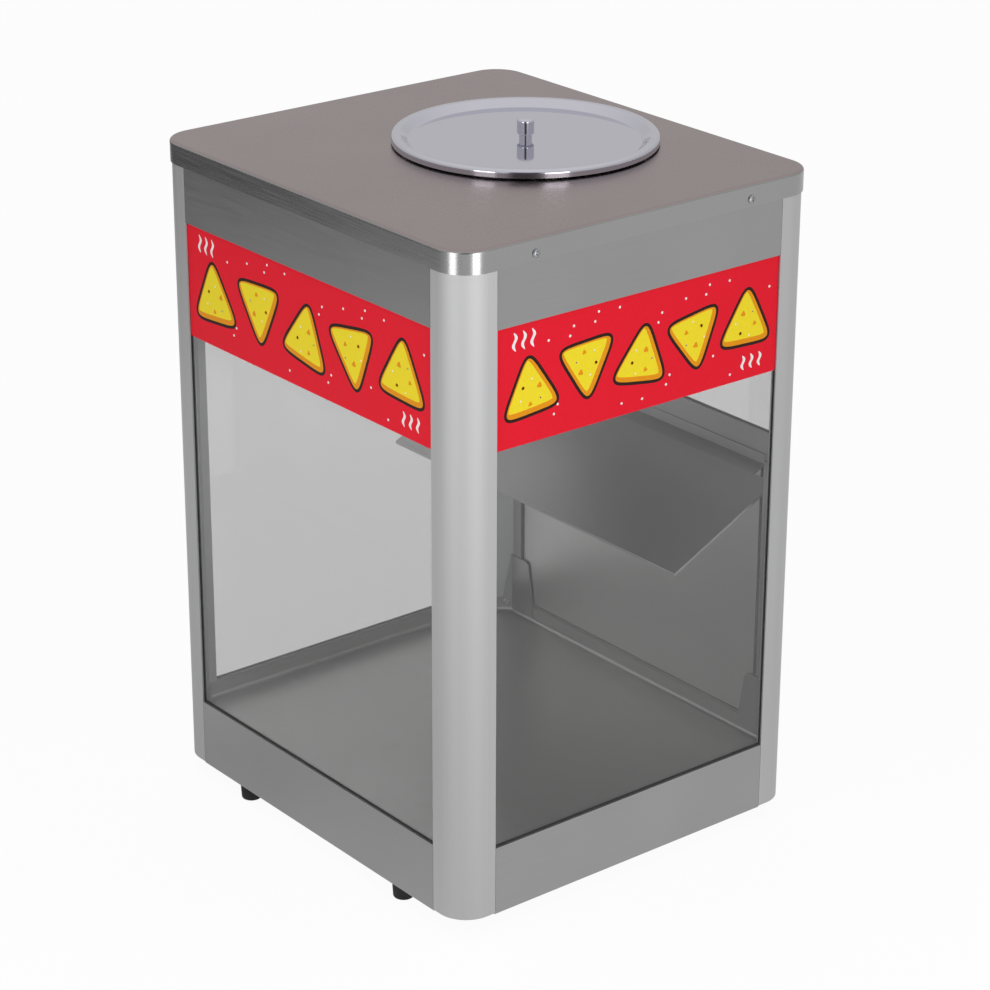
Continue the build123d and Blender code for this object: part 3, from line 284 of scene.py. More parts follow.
@dataclass(frozen=True)
class BrushedSheet(Finish):
    """Stainless sheet, belt brushed.

    The abrasive belt leaves short parallel scratches, so that lights smear out across them.
    Real scratches are about 0.1 mm wide; they are drawn line_mm wide so that they show.
    """

    grain: Grain = Grain.X
    colour: str = "#a6a6a6"
    roughness: float = 0.34
    smear: float = 0.5
    line_mm: float = 0.9
    run_mm: float = 70.0
    cloud_mm: float = 120.0
    painted_top_colour: str | None = None

    def surface(self, tree: NodeTree, place: NodeSocket) -> Node:
        """Let scratches drive the roughness and a little of the colour, and clouds the rest.

        Args:
            tree, place: as in Finish.

        Returns:
            The metal's shader.
        """
        colour = self.colour
        # Faces that look up get a warmer, darker top colour by which way they point: painted light, not the
        # steel's own colour.
        if self.painted_top_colour:
            upward = add(tree, "SeparateXYZ", (add(tree, "NewGeometry").outputs["Normal"],))
            level = add(tree, "MapRange", (upward.outputs["Z"], 0.3, 0.9))
            colour = add(tree, "Mix", {0: level, 6: linear(self.colour), 7: linear(self.painted_top_colour)},
                         data_type="RGBA").outputs[2]
        long, fine = 1 / (self.run_mm * MM), 1 / (self.line_mm * MM)
        scale = [long if share else fine for share in self.grain.value]
        lines = add(tree, "Mapping", {"Vector": place, "Scale": scale})
        scratch = add(tree, "TexNoise", {"Vector": lines, "Scale": 1.0, "Detail": 3.0, "Roughness": 0.6})
        cloud = add(tree, "TexNoise", sized(place, self.cloud_mm, 2.0))
        both = add(tree, "Math", (scratch, cloud), operation="ADD")
        rough = add(tree, "MapRange", (scratch, 0.25, 0.75, self.roughness - 0.05, self.roughness + 0.07))
        bump = add(tree, "Bump", {"Height": scratch, "Strength": 0.02, "Distance": 0.05 * MM})
        return add(tree, "BsdfPrincipled", {
            "Base Color": toned(tree, colour, both, (0.6, 1.4), (0.94, 1.06)), "Metallic": 1.0,
            "Roughness": rough, "Anisotropic": self.smear, "Tangent": across(tree, self.grain),
            "Normal": bump})


@dataclass(frozen=True)
class AnodisedExtrusion(Finish):
    """Aluminium extrusion, satin anodised.

    The die draws faint lines along the bar, which spread a light round the bar more than along
    it. The etch before the anodising leaves a soft, milky sheen, lighter than brushed steel.
    Real die lines are about 0.3 mm wide and the etch is finer still; both are drawn coarser, line_mm
    and etch_mm wide, so that they show.
    """

    colour: str = "#c4c4c5"
    roughness: float = 0.60
    smear: float = 0.35
    line_mm: float = 1.4
    run_mm: float = 400.0
    etch_mm: float = 0.8

    def surface(self, tree: NodeTree, place: NodeSocket) -> Node:
        """Let die lines along z change the roughness and the tone by a little.

        Args:
            tree, place: as in Finish.

        Returns:
            The metal's shader.
        """
        fine, long = 1 / (self.line_mm * MM), 1 / (self.run_mm * MM)
        lines = add(tree, "Mapping", {"Vector": place, "Scale": (fine, fine, long)})
        drawn = add(tree, "TexNoise", {"Vector": lines, "Scale": 1.0, "Detail": 2.0})
        etch = add(tree, "TexNoise", sized(place, self.etch_mm, 1.0))
        rough = add(tree, "MapRange", (drawn, 0.2, 0.8, self.roughness - 0.03, self.roughness + 0.04))
        bump = add(tree, "Bump", {"Height": etch, "Strength": 0.04, "Distance": 0.03 * MM})
        return add(tree, "BsdfPrincipled", {
            "Base Color": toned(tree, self.colour, drawn, (0.2, 0.8), (0.96, 1.04)), "Metallic": 1.0,
            "Roughness": rough, "Anisotropic": self.smear, "Tangent": across(tree, Grain.Z),
            "Normal": bump})


@dataclass(frozen=True)
class PolishedSteel(Finish):
    """Stainless steel, spun and mirror polished.

    The buffing wheel leaves a mirror with faint rings round the part's axis, which is where
    centre_mm puts it in x and y, and the sheet under the polish waves a little. Real rings are
    about 0.2 mm apart; they are drawn ring_mm apart so that they show.
    """

    colour: str = "#cbcad4"
    roughness: float = 0.05
    centre_mm: Pair = (0.0, 0.0)
    ring_mm: float = 1.6
    wave_mm: float = 35.0

    def surface(self, tree: NodeTree, place: NodeSocket) -> Node:
        """Make the rings from the distance to the axis, read by a one-way noise.

        Args:
            tree, place: as in Finish.

        Returns:
            The metal's shader.
        """
        shift = (-self.centre_mm[0] * MM, -self.centre_mm[1] * MM, 0.0)
        round_axis = add(tree, "Mapping", {"Vector": place, "Location": shift, "Scale": (1.0, 1.0, 0.0)})
        reach = add(tree, "VectorMath", (round_axis,), operation="LENGTH").outputs["Value"]
        rings = add(tree, "TexNoise", {"W": reach, "Scale": 1 / (self.ring_mm * MM), "Detail": 2.0},
                    noise_dimensions="1D")
        wave = add(tree, "TexNoise", sized(place, self.wave_mm, 1.0))
        rough = add(tree, "MapRange", (rings, 0.3, 0.7, self.roughness - 0.02, self.roughness + 0.04))
        bump = add(tree, "Bump", {"Height": wave, "Strength": 0.06, "Distance": 0.4 * MM})
        return add(tree, "BsdfPrincipled", {
            "Base Color": linear(self.colour), "Metallic": 1.0, "Roughness": rough, "Normal": bump})


@dataclass(frozen=True)
class ZincPlate(Finish):
    """Steel, bright zinc plated: small crystals in the plating give a fine, uneven glitter.

    Real crystals are under 0.1 mm wide; they are drawn crystal_mm wide so that they show.
    """

    colour: str = "#a9abae"
    crystal_mm: float = 1.1

    def surface(self, tree: NodeTree, place: NodeSocket) -> Node:
        """Give each cell of a Voronoi pattern a roughness and a tone of its own.

        Args:
            tree, place: as in Finish.

        Returns:
            The metal's shader.
        """
        cells = add(tree, "TexVoronoi", {"Vector": place, "Scale": 1 / (self.crystal_mm * MM)})
        each = add(tree, "SeparateColor", (cells.outputs["Color"],))
        rough = add(tree, "MapRange", (each.outputs[1], 0.0, 1.0, 0.26, 0.34))
        return add(tree, "BsdfPrincipled", {
            "Base Color": toned(tree, self.colour, each, (0.0, 1.0), (0.95, 1.04)), "Metallic": 1.0,
            "Roughness": rough})


@dataclass(frozen=True)
class FloatGlass(Finish):
    """Clear float glass, 3 mm: flat and faintly grey, with a thin uneven film of cooking vapour."""

    tint: str = "#dbdbdb"
    lamp_tint: str = "#eef0ef"
    film_mm: float = 90.0

    def surface(self, tree: NodeTree, place: NodeSocket) -> Node:
        """Make glass for sight, and a tinted clear shader that lets the lamps' light through.

        Args:
            tree, place: as in Finish.

        Returns:
            The mix of both.
        """
        shadow = add(tree, "LightPath").outputs["Is Shadow Ray"]
        film = add(tree, "TexNoise", sized(place, self.film_mm, 3.0))
        rough = add(tree, "MapRange", (film, 0.45, 0.8, 0.0, 0.03))
        glass = add(tree, "BsdfPrincipled", {
            "Base Color": linear(self.tint), "Roughness": rough, "IOR": 1.5, "Transmission Weight": 1.0})
        clear = add(tree, "BsdfTransparent", {"Color": linear(self.lamp_tint)})
        return add(tree, "MixShader", (shadow, glass, clear))


@dataclass(frozen=True)
class Moulded(Finish):
    """Rubber, plastic or ceramic from a mould whose sparked surface leaves a fine, even grain.

    Real spark grain is about 0.1 mm wide; it is drawn grain_mm wide so that it shows.
    """

    colour: str = "#161617"
    roughness: float = 0.6
    grain_mm: float = 0.5
    depth_mm: float = 0.03
    mark_mm: float = 14.0
    coat: float = 0.0

    def surface(self, tree: NodeTree, place: NodeSocket) -> Node:
        """Put the grain in the bump, and handling marks in the roughness.

        Args:
            tree, place: as in Finish.

        Returns:
            The shader.
        """
        grain = add(tree, "TexNoise", sized(place, self.grain_mm, 2.0))
        marks = add(tree, "TexNoise", sized(place, self.mark_mm, 4.0))
        rough = add(tree, "MapRange", (marks, 0.3, 0.7, self.roughness - 0.06, self.roughness + 0.08))
        bump = add(tree, "Bump", {"Height": grain, "Strength": 0.35, "Distance": self.depth_mm * MM})
        return add(tree, "BsdfPrincipled", {
            "Base Color": toned(tree, self.colour, marks, (0.3, 0.7), (0.90, 1.10)), "Roughness": rough,
            "IOR": 1.5, "Coat Weight": self.coat, "Coat Roughness": 0.08, "Normal": bump})


@dataclass(frozen=True)
class PrintedFilm(Finish):
    """Vinyl film, screen printed: flat, saturated ink with a faint mottle and a low sheen."""

    colour: str = "#f0162e"
    roughness: float = 0.46
    mottle_mm: float = 2.2

    def surface(self, tree: NodeTree, place: NodeSocket) -> Node:
        """Let mottle change the ink by a few percent and leave a slight orange peel.

        Args:
            tree, place: as in Finish.

        Returns:
            The ink's shader.
        """
        mottle = add(tree, "TexNoise", sized(place, self.mottle_mm, 3.0))
        peel = add(tree, "Bump", {"Height": mottle, "Strength": 0.05, "Distance": 0.02 * MM})
        return add(tree, "BsdfPrincipled", {
            "Base Color": toned(tree, self.colour, mottle, (0.25, 0.75), (0.965, 1.035)),
            "Roughness": self.roughness, "IOR": 1.46, "Specular IOR Level": 0.2, "Normal": peel})


@dataclass(frozen=True)
class NeonLens(Finish):
    """Polycarbonate lens, moulded clear amber: it glows a little at its edge even when it is off."""

    colour: str = "#f07a12"
    rib_mm: float = 7.0

    def surface(self, tree: NodeTree, place: NodeSocket) -> Node:
        """Show the ribs inside the lens as bands in the bump.

        Args:
            tree, place: as in Finish.

        Returns:
            The shader.
        """
        ribs = add(tree, "TexWave", {"Vector": place, "Scale": 1 / (self.rib_mm * MM)}, bands_direction="X")
        bump = add(tree, "Bump", {"Height": ribs.outputs[1], "Strength": 0.3, "Distance": 0.15 * MM})
        return add(tree, "BsdfPrincipled", {
            "Base Color": linear(self.colour), "Roughness": 0.14, "IOR": 1.58,
            "Transmission Weight": 0.45, "Normal": bump})


@dataclass(frozen=True)
class OxidisedSheath(Finish):
    """Nickel alloy tube that has been red hot: dark oxide with straw and blue temper colours."""

    temper_mm: float = 60.0
    scale_mm: float = 1.5

    def surface(self, tree: NodeTree, place: NodeSocket) -> Node:
        """Let a slow noise pick the temper colour along the tube.

        Args:
            tree, place: as in Finish.

        Returns:
            The shader.
        """
        heat = add(tree, "TexNoise", sized(place, self.temper_mm, 3.0))
        scale = add(tree, "TexNoise", sized(place, self.scale_mm, 2.0))
        temper = add(tree, "ValToRGB", (heat,), stops=(
            (0.30, "#3a3734"), (0.50, "#54483a"), (0.75, "#3d3f4a")))
        bump = add(tree, "Bump", {"Height": scale, "Strength": 0.3, "Distance": 0.05 * MM})
        return add(tree, "BsdfPrincipled", {
            "Base Color": temper, "Metallic": 0.7, "Roughness": 0.52, "Normal": bump})


LID_AXIS_MM = (0.0, 42.75)
STEEL = {grain: BrushedSheet("belt_brushed_steel_" + grain.name.lower(), grain) for grain in Grain}
# The roof's level face gets a warmer, darker colour than its lip: painted light, set by which way a face points.
# The lip keeps the plain steel colour.
ROOF_STEEL = BrushedSheet("belt_brushed_steel_painted_warm_top", Grain.X, roughness=0.26, painted_top_colour="#9c8e8d")
LINER_STEEL = BrushedSheet("mill_rolled_steel_liner", Grain.X, colour="#c8c6c6", roughness=0.36,
                           line_mm=1.6, smear=0.3)
PAN_STEEL = BrushedSheet("mill_rolled_steel_pan", Grain.Y, colour="#a7a7a6", roughness=0.32,
                         line_mm=1.4, smear=0.3)
BAFFLE_STEEL = BrushedSheet("mill_rolled_steel_baffle", Grain.X, colour="#afaeae", roughness=0.34,
                            line_mm=1.4, smear=0.3)
POST = AnodisedExtrusion("satin_anodised_aluminium")
MIRROR = PolishedSteel("mirror_polished_stainless", centre_mm=LID_AXIS_MM)
ZINC = ZincPlate("zinc_plated_steel")
GLASS = FloatGlass("float_glass")
RUBBER = Moulded("moulded_rubber", colour="#141415", roughness=0.72, grain_mm=0.7, depth_mm=0.05)
GLAZING_RUBBER = Moulded("extruded_grey_glazing_rubber", colour="#4c4c4d", roughness=0.6, grain_mm=0.7)
BLACK_PLASTIC = Moulded("moulded_black_nylon", colour="#17181a", roughness=0.45)
ROCKER_PLASTIC = Moulded("moulded_red_plastic", colour="#9c1d18", roughness=0.28, depth_mm=0.01, coat=0.3)
CERAMIC = Moulded("pressed_steatite", colour="#d9d4c6", roughness=0.55, grain_mm=0.9)
FERRITE = Moulded("sintered_ferrite", colour="#2b2c2e", roughness=0.5, grain_mm=1.2, depth_mm=0.08)
LENS = NeonLens("moulded_amber_lens")
SHEATH = OxidisedSheath("oxidised_nickel_sheath")
FILM = PrintedFilm("printed_film_red")
INK_DARK = PrintedFilm("film_ink_dark_brown", colour="#2a130c", roughness=0.42)
INK_ORANGE = PrintedFilm("film_ink_orange", colour="#f29b12", roughness=0.42)
INK_YELLOW = PrintedFilm("film_ink_yellow", colour="#fde62c", roughness=0.42)
INK_WHITE = PrintedFilm("film_ink_white", colour="#fbfaf8", roughness=0.42)
INK_BLACK = PrintedFilm("pad_printed_black", colour="#1a1a1c", roughness=0.5)

SLOT_FINISH = {
    "satin_steel": STEEL[Grain.X], "anodised_aluminium": POST, "clear_glass": GLASS,
    "black_rubber": RUBBER, "sign_film": FILM, "polished_steel": MIRROR, "plated_steel": ZINC,
    "black_plastic": BLACK_PLASTIC, "rocker_plastic": ROCKER_PLASTIC, "lamp_lens": LENS,
    "ferrite": FERRITE, "element_sheath": SHEATH, "moulded_case": CERAMIC,
}
NODE_FINISH = {
    **dict.fromkeys(("base_panel_right", "base_panel_left", "header_right", "header_left"), STEEL[Grain.Y]),
    **dict.fromkeys(("gasket_front", "gasket_right", "gasket_left", "gasket_rear"), GLAZING_RUBBER),
    "top_cover": ROOF_STEEL, "door_liner": LINER_STEEL, "floor_pan": PAN_STEEL, "baffle": BAFFLE_STEEL,
}


# ---- Studio ---------------------------------------------------------------------------------
@dataclass
class Softbox:
    """A rectangular lamp that stands upright and faces the cabinet. Lengths are metres.

    It shows in polished faces, but not to the camera, directly or through the glass.
    """

    name: str
    azimuth: float
    width: float
    radiance: float
    distance: float = 1.45
    height: float = 1.0
    middle_z: float = 0.52

    def build(self) -> None:
        """Place the lamp; its power is its radiance times its area times pi."""
        light = bpy.data.lights.new(self.name, "AREA")
        light.shape = "RECTANGLE"
        light.size, light.size_y = self.width, self.height
        light.energy = self.radiance * math.pi * self.width * self.height
        lamp = in_scene(self.name, light)
        lamp.visible_camera = lamp.visible_transmission = False
        turn = math.radians(self.azimuth)
        lamp.location = (math.sin(turn) * self.distance, -math.cos(turn) * self.distance, self.middle_z)
        lamp.rotation_euler = (math.pi / 2, 0.0, turn)


@dataclass
class Studio:
    """Pale floor, plain white surroundings, soft lamps and the camera. Lengths are metres.

    Metal sees other levels than the camera does: a sky that brightens upwards from sky_rise[0] to
    sky_rise[1], a dim gap in it on gap_side, and a floor whose tones run out towards left_side.
    """

    camera_at: Triple = (2.119407, -1.701349, 1.444439)
    camera_azimuth: float = 50.94
    camera_elevation: float = 22.61
    camera_roll: float = 0.26
    lens_mm: float = 112.512
    sensor_mm: float = 36.0
    shift: Pair = (-0.0085, -0.0027)
    ambient: float = 0.5
    sky_rise: Pair = (0.2, 0.9)
    sky_levels: Pair = (0.62, 0.85)
    gap_side: Triple = (0.777, -0.629, 0.0)
    gap_edge: Pair = (0.955, 0.985)
    gap_top: Pair = (0.5, 0.7)
    gap_depth: float = 0.85
    floor_half: float = 9.0
    floor_white: float = 1.04
    floor_share: float = 0.9
    left_side: Triple = (-0.777, -0.629, 0.0)
    left_reach: Pair = (-1.0, 3.0)
    left_tones: tuple[tuple[float, str], ...] = (
        (0.22, "#e6e6e6"), (0.33, "#c6c6c6"), (0.45, "#dcdcdc"), (0.59, "#fcfcfc"), (0.73, "#6c6c6c"),
        (0.86, "#464646"))
    lamps: tuple[Softbox, ...] = (Softbox("softbox_front", azimuth=18.0, width=0.46, radiance=3.0),
                                  Softbox("softbox_right", azimuth=78.0, width=0.50, radiance=3.4))

    def camera(self) -> None:
        """Create the camera and make it the scene's."""
        data = bpy.data.cameras.new("camera")
        data.lens, data.sensor_width = self.lens_mm, self.sensor_mm
        data.shift_x, data.shift_y = self.shift
        data.clip_start, data.clip_end = 0.05, 60.0
        camera = in_scene("camera", data)
        turn = (Matrix.Rotation(math.radians(self.camera_azimuth), 4, "Z")
                @ Matrix.Rotation(math.radians(90 - self.camera_elevation), 4, "X")
                @ Matrix.Rotation(math.radians(self.camera_roll), 4, "Z"))
        camera.matrix_world = Matrix.Translation(self.camera_at) @ turn
        bpy.context.scene.camera = camera

    def world(self) -> None:
        """White wherever it is seen directly or through glass, softer in metal, dim as a lamp.

        Metal also shows the dark gap between the two lamps, which runs up from the horizon.
        """
        world = bpy.data.worlds.new("studio")
        bpy.context.scene.world = world
        world.use_nodes = True
        tree = world.node_tree
        tree.nodes.clear()
        path = add(tree, "LightPath").outputs
        seen = add(tree, "Math", (path["Is Camera Ray"], path["Is Transmission Ray"]), operation="MAXIMUM")
        direction = add(tree, "TexCoord").outputs["Generated"]
        height = add(tree, "SeparateXYZ", (direction,)).outputs["Z"]
        sky = add(tree, "MapRange", (height, *self.sky_rise, *self.sky_levels))
        level = add(tree, "VectorMath", (direction, (1.0, 1.0, 0.0)), operation="MULTIPLY")
        way = add(tree, "VectorMath", (level,), operation="NORMALIZE")
        ahead = add(tree, "VectorMath", (way, self.gap_side), operation="DOT_PRODUCT").outputs["Value"]
        between = add(tree, "MapRange", (ahead, *self.gap_edge))
        low = add(tree, "MapRange", (height, *self.gap_top, self.gap_depth, 0.0))
        dim = add(tree, "Math", (between, low), operation="MULTIPLY")
        lit = add(tree, "Math", (1.0, dim), operation="SUBTRACT")
        room = add(tree, "Math", (sky, lit), operation="MULTIPLY")
        mirrored = add(tree, "Mix", {0: path["Is Glossy Ray"], 2: self.ambient, 3: room}, data_type="FLOAT")
        strength = add(tree, "Mix", {0: seen, 2: mirrored, 3: 1.0}, data_type="FLOAT")
        back = add(tree, "Background", {"Color": linear("#ffffff"), "Strength": strength})
        add(tree, "OutputWorld", {"Surface": back})

    def paper(self) -> Material:
        """White but for the shadow where it is seen directly or through glass, and toned in metal.

        Returns:
            The floor's material.
        """
        paper = bpy.data.materials.new("floor_paper")
        paper.use_nodes = True
        tree = paper.node_tree
        tree.nodes.clear()
        path = add(tree, "LightPath").outputs
        seen = add(tree, "Math", (path["Is Camera Ray"], path["Is Transmission Ray"]), operation="MAXIMUM")
        share = add(tree, "Math", (seen, self.floor_share), operation="MULTIPLY")
        plain = add(tree, "BsdfDiffuse", {"Color": linear("#e4e4e4")})
        white = add(tree, "Emission", {"Color": linear("#ffffff"), "Strength": self.floor_white})
        both = add(tree, "MixShader", (share, plain, white))
        place = add(tree, "TexCoord").outputs["Object"]
        away = add(tree, "VectorMath", (place, self.left_side), operation="DOT_PRODUCT").outputs["Value"]
        reach = add(tree, "MapRange", (away, *self.left_reach))
        tone = add(tree, "ValToRGB", (reach,), stops=self.left_tones)
        toned_floor = add(tree, "Emission", {"Color": tone, "Strength": 1.0})
        # Rays that glass lets through count as glossy too, so the directly seen ones come off.
        mirrored = add(tree, "Math", (path["Is Glossy Ray"], seen), operation="SUBTRACT", use_clamp=True)
        add(tree, "OutputMaterial", {"Surface": add(tree, "MixShader", (mirrored, both, toned_floor))})
        return paper

    def floor(self) -> None:
        """Lay a white floor that shows white to the camera and keeps a soft shadow."""
        half = self.floor_half
        corners = [(-half, -half, 0.0), (half, -half, 0.0), (half, half, 0.0), (-half, half, 0.0)]
        mesh = bpy.data.meshes.new("floor")
        mesh.from_pydata(corners, [], [(0, 1, 2, 3)])
        mesh.materials.append(self.paper())
        floor = in_scene("floor", mesh)

    def build(self) -> None:
        """Set up everything that isn't the cabinet."""
        bpy.context.scene.view_settings.view_transform = "Standard"
        self.camera()
        self.world()
        self.floor()
        for lamp in self.lamps:
            lamp.build()
        LOG.info("studio: camera, floor and %d lamps", len(self.lamps))


# ---- New pieces -----------------------------------------------------------------------------
def put_piece(name: str, points: np.ndarray, faces: list | np.ndarray, finishes: list[Finish], body: str,
              slot: str, face_finish: np.ndarray | None = None, smooth: bool = False) -> Object:
    """Make a mesh object and let it ride on a body.

    Args:
        name: name of the piece.
        points: corners in metres, in the frame shared with the CAD, one in a row.
        faces: point numbers of each face.
        finishes: finishes of the piece.
        body: CAD body that the piece rides on.
        slot: the record's material slot; not used.
        face_finish: for each face, which of the finishes it has.
        smooth: whether the faces are shaded as one curved surface.

    Returns:
        The new object.
    """
    mesh = bpy.data.meshes.new(name)
    mesh.from_pydata(points.tolist(), [], [list(map(int, face)) for face in faces])
    for finish in finishes:
        mesh.materials.append(finish.material())
    if face_finish is not None:
        mesh.polygons.foreach_set("material_index", np.asarray(face_finish, dtype=np.int32))
    mesh.polygons.foreach_set("use_smooth", np.full(len(mesh.polygons), smooth))
    mesh.update()
    piece = in_scene(name, mesh)
    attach(piece, body)
    LOG.info("piece %s on %s: %d faces", name, body, len(mesh.polygons))
    return piece


def joined(parts: list[Solid]) -> Solid:
    """Join several solids into one piece, with the faces renumbered.

    Args:
        parts: points and faces of each solid.

    Returns:
        Points and faces of them all.
    """
    points = np.concatenate([part[0] for part in parts])
    starts = np.cumsum([0] + [len(part[0]) for part in parts[:-1]])
    faces = [[int(n) + int(start) for n in face] for start, part in zip(starts, parts) for face in part[1]]
    return points, faces


@dataclass(frozen=True)
class CrossScrew:
    """Pan head screw with a cross recess, along +z with its head's underside at z = 0. Millimetres."""

    head_d: float = 7.5
    head_h: float = 2.2
    edge_h: float = 0.9
    shank_d: float = 4.0
    length: float = 8.0
    arm_w: float = 1.15
    arm_l: float = 4.6
    recess: float = 1.25
    rise: float = 0.55
    point_h: float = 0.4
    point_share: float = 0.75

    def arm(self) -> Pair:
        """Half the width and half the length of the cross's arms, as shares of the head's radius."""
        return self.arm_w / self.head_d, self.arm_l / self.head_d

    def lines(self) -> np.ndarray:
        """Place grid lines across the head from -1 to 1, doubled at the recess's walls.

        Returns:
            The places of the lines.
        """
        wall, end = self.arm()
        side = np.array([0.0, wall * 0.92, wall, end * 0.5, end * 0.97, end, 0.75, 0.88, 0.96, 1.0])
        return np.concatenate([-side[:0:-1], side])

    def shape(self) -> Solid:
        """Head and shank as one closed surface.

        The top is a square grid bent onto a disc: x' = x sqrt(1 - y^2 / 2), and y' the same with x
        and y swapped. Its height falls with the fourth power of the distance from the middle, and
        where either arm of the cross lies it drops by the recess, less towards the arm's end. The
        rim's points are then repeated as rings down the side, along the underside and the shank.

        Returns:
            Points and faces.
        """
        line = self.lines()
        count, half = len(line), self.head_d / 2
        x, y = np.meshgrid(line, line, indexing="xy")
        disc = np.stack([x * np.sqrt(1 - y**2 / 2), y * np.sqrt(1 - x**2 / 2)], axis=-1)
        reach = np.linalg.norm(disc, axis=-1)
        wall, end = self.arm()
        near, far = np.minimum(abs(x), abs(y)), np.maximum(abs(x), abs(y))
        cross = (near < wall * 0.95) & (far < end * 0.98)
        deep = self.recess * (1 - self.rise * far / end) * cross
        z = self.edge_h + (self.head_h - self.edge_h) * (1 - reach**4) - deep
        top = np.concatenate([disc * half, z[..., None]], axis=-1).reshape(-1, 3)
        number = np.arange(count * count).reshape(count, count)
        rim = np.concatenate([number[0, :-1], number[:-1, -1], number[-1, :0:-1], number[:0:-1, 0]])
        around = top[rim, :2] / half
        shank = self.shank_d / 2
        steps = [(half, 0.0), (shank, 0.0), (shank, self.point_h - self.length),
                 (shank * self.point_share, -self.length)]
        rings = np.concatenate([np.column_stack([around * r, np.full(len(rim), h)]) for r, h in steps])
        points = np.concatenate([top, rings])
        faces = [list(face) for face in grid_faces(count, count)]
        loops = [rim] + [len(top) + len(rim) * k + np.arange(len(rim)) for k in range(len(steps))]
        for upper, lower in zip(loops, loops[1:]):
            faces += np.stack([upper, lower, np.roll(lower, -1), np.roll(upper, -1)], axis=-1).tolist()
        faces.append(loops[-1][::-1].tolist())
        return points, faces

    def placed(self, seat: np.ndarray, direction: Triple) -> Solid:
        """Points in metres and faces, with the head's underside at seat and the head pointing out."""
        points, faces = self.shape()
        return points @ turned(direction).T * MM + seat, faces


@dataclass
class Fasteners:
    """The pan head screws, with their recesses, in the places of the CAD's plain ones."""

    head_h: float = 2.2

    def outward(self, middle: np.ndarray) -> Triple:
        """Way that a screw's head points: out of the side from the roof cover, else into the chamber."""
        side = math.copysign(1.0, middle[0])
        return (side, 0.0, 0.0) if middle[2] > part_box("top_cover")[0].z else (-side, -1.0, 0.0)

    def over(self, solid: np.ndarray, direction: Triple) -> Solid:
        """Make a detailed screw on the place of a plain one.

        Args:
            solid: the plain screw's points in metres.
            direction: way that its head points.

        Returns:
            Points in metres and faces.
        """
        way = np.array(Vector(direction).normalized())
        depth, middle = solid @ way, middle_of(solid)
        seat_depth = depth.max() - self.head_h * MM
        seat = middle + way * (seat_depth - middle @ way)
        length = (seat_depth - depth.min()) / MM
        return CrossScrew(head_h=self.head_h, length=length).placed(seat, direction)

    def build(self) -> None:
        """Replace the panels' screws and the lid's."""
        panel = [self.over(solid, self.outward(middle_of(solid))) for solid in solids_of("panel_screws")]
        piece = put_piece("panel_screws_crosshead", *joined(panel), [ZINC], "cabinet", "plated_steel")
        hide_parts("panel_screws")
        lid = self.over(solids_of("lid_screw")[0], (0.0, 0.0, -1.0))
        piece = put_piece("lid_screw_crosshead", *lid, [ZINC], "lid", "plated_steel")
        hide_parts("lid_screw")


@dataclass(frozen=True)
class Ground:
    """A flat face that small things lie on: its middle in metres, and its right and up directions."""

    middle: Triple
    right: Triple
    up: Triple = (0.0, 0.0, 1.0)

    def lay(self, points: np.ndarray) -> np.ndarray:
        """Turn millimetres to the right, up and outwards into metres in the shared frame."""
        right, up = np.array(self.right), np.array(self.up)
        return points @ np.stack([right, up, np.cross(right, up)]) * MM + np.array(self.middle)


def slab(outline: np.ndarray, low: float, high: float) -> Solid:
    """Make a thin closed slab from an outline that can be seen whole from its middle.

    The front is a fan of triangles from the middle at the high level, the back the same at the
    low level, and two triangles for each step of the outline join them.

    Args:
        outline: points in millimetres, anticlockwise as seen from the front.
        low: level of the back.
        high: level of the front.

    Returns:
        Points and triangles.
    """
    count = len(outline)
    ring = np.concatenate([outline, outline.mean(axis=0)[None]])
    points = np.concatenate([np.column_stack([ring, np.full(count + 1, level)]) for level in (high, low)])
    here, beside = np.arange(count), np.roll(np.arange(count), -1)
    middle, back = np.full(count, count), count + 1
    faces = [(middle, here, beside), (middle + back, beside + back, here + back),
             (here + back, beside + back, beside), (here + back, beside, here)]
    return points, np.concatenate([np.stack(corner, axis=-1) for corner in faces])


def ribbon(left: np.ndarray, right: np.ndarray, low: float, high: float, loop: bool = False) -> Solid:
    """Carry a rectangle along two curves as a closed strip.

    Args:
        left: points in millimetres of the edge on the left hand of the way along.
        right: as many points of the other edge.
        low: level of the back.
        high: level of the front.
        loop: whether the strip's end joins its start.

    Returns:
        Points and faces.
    """
    rows = len(left)
    track = [np.column_stack([edge, np.full(rows, level)])
             for edge, level in ((left, low), (left, high), (right, high), (right, low))]
    faces = grid_faces(rows, 4, wrap=True, loop=loop).tolist()
    if not loop:
        faces += [[3, 2, 1, 0], [4 * rows - 4, 4 * rows - 3, 4 * rows - 2, 4 * rows - 1]]
    return np.stack(track, axis=1).reshape(-1, 3), faces


def ring_of(radius: float, count: int = 32) -> np.ndarray:
    """Give points round a circle, anticlockwise from its right."""
    turn = np.linspace(0, 2 * np.pi, count, endpoint=False)
    return radius * np.column_stack([np.cos(turn), np.sin(turn)])


def flat(points: np.ndarray) -> np.ndarray:
    """Turn complex numbers, right and up, into rows of two lengths."""
    return np.column_stack([points.real, points.imag])


class Ink(Enum):
    """The inks of the sign's print, and the bare film that they lie on."""

    OUTLINE = INK_DARK
    TOAST = INK_ORANGE
    CHIP = INK_YELLOW
    WHITE = INK_WHITE
    BARE = FILM


Layer = tuple[Solid, Ink]


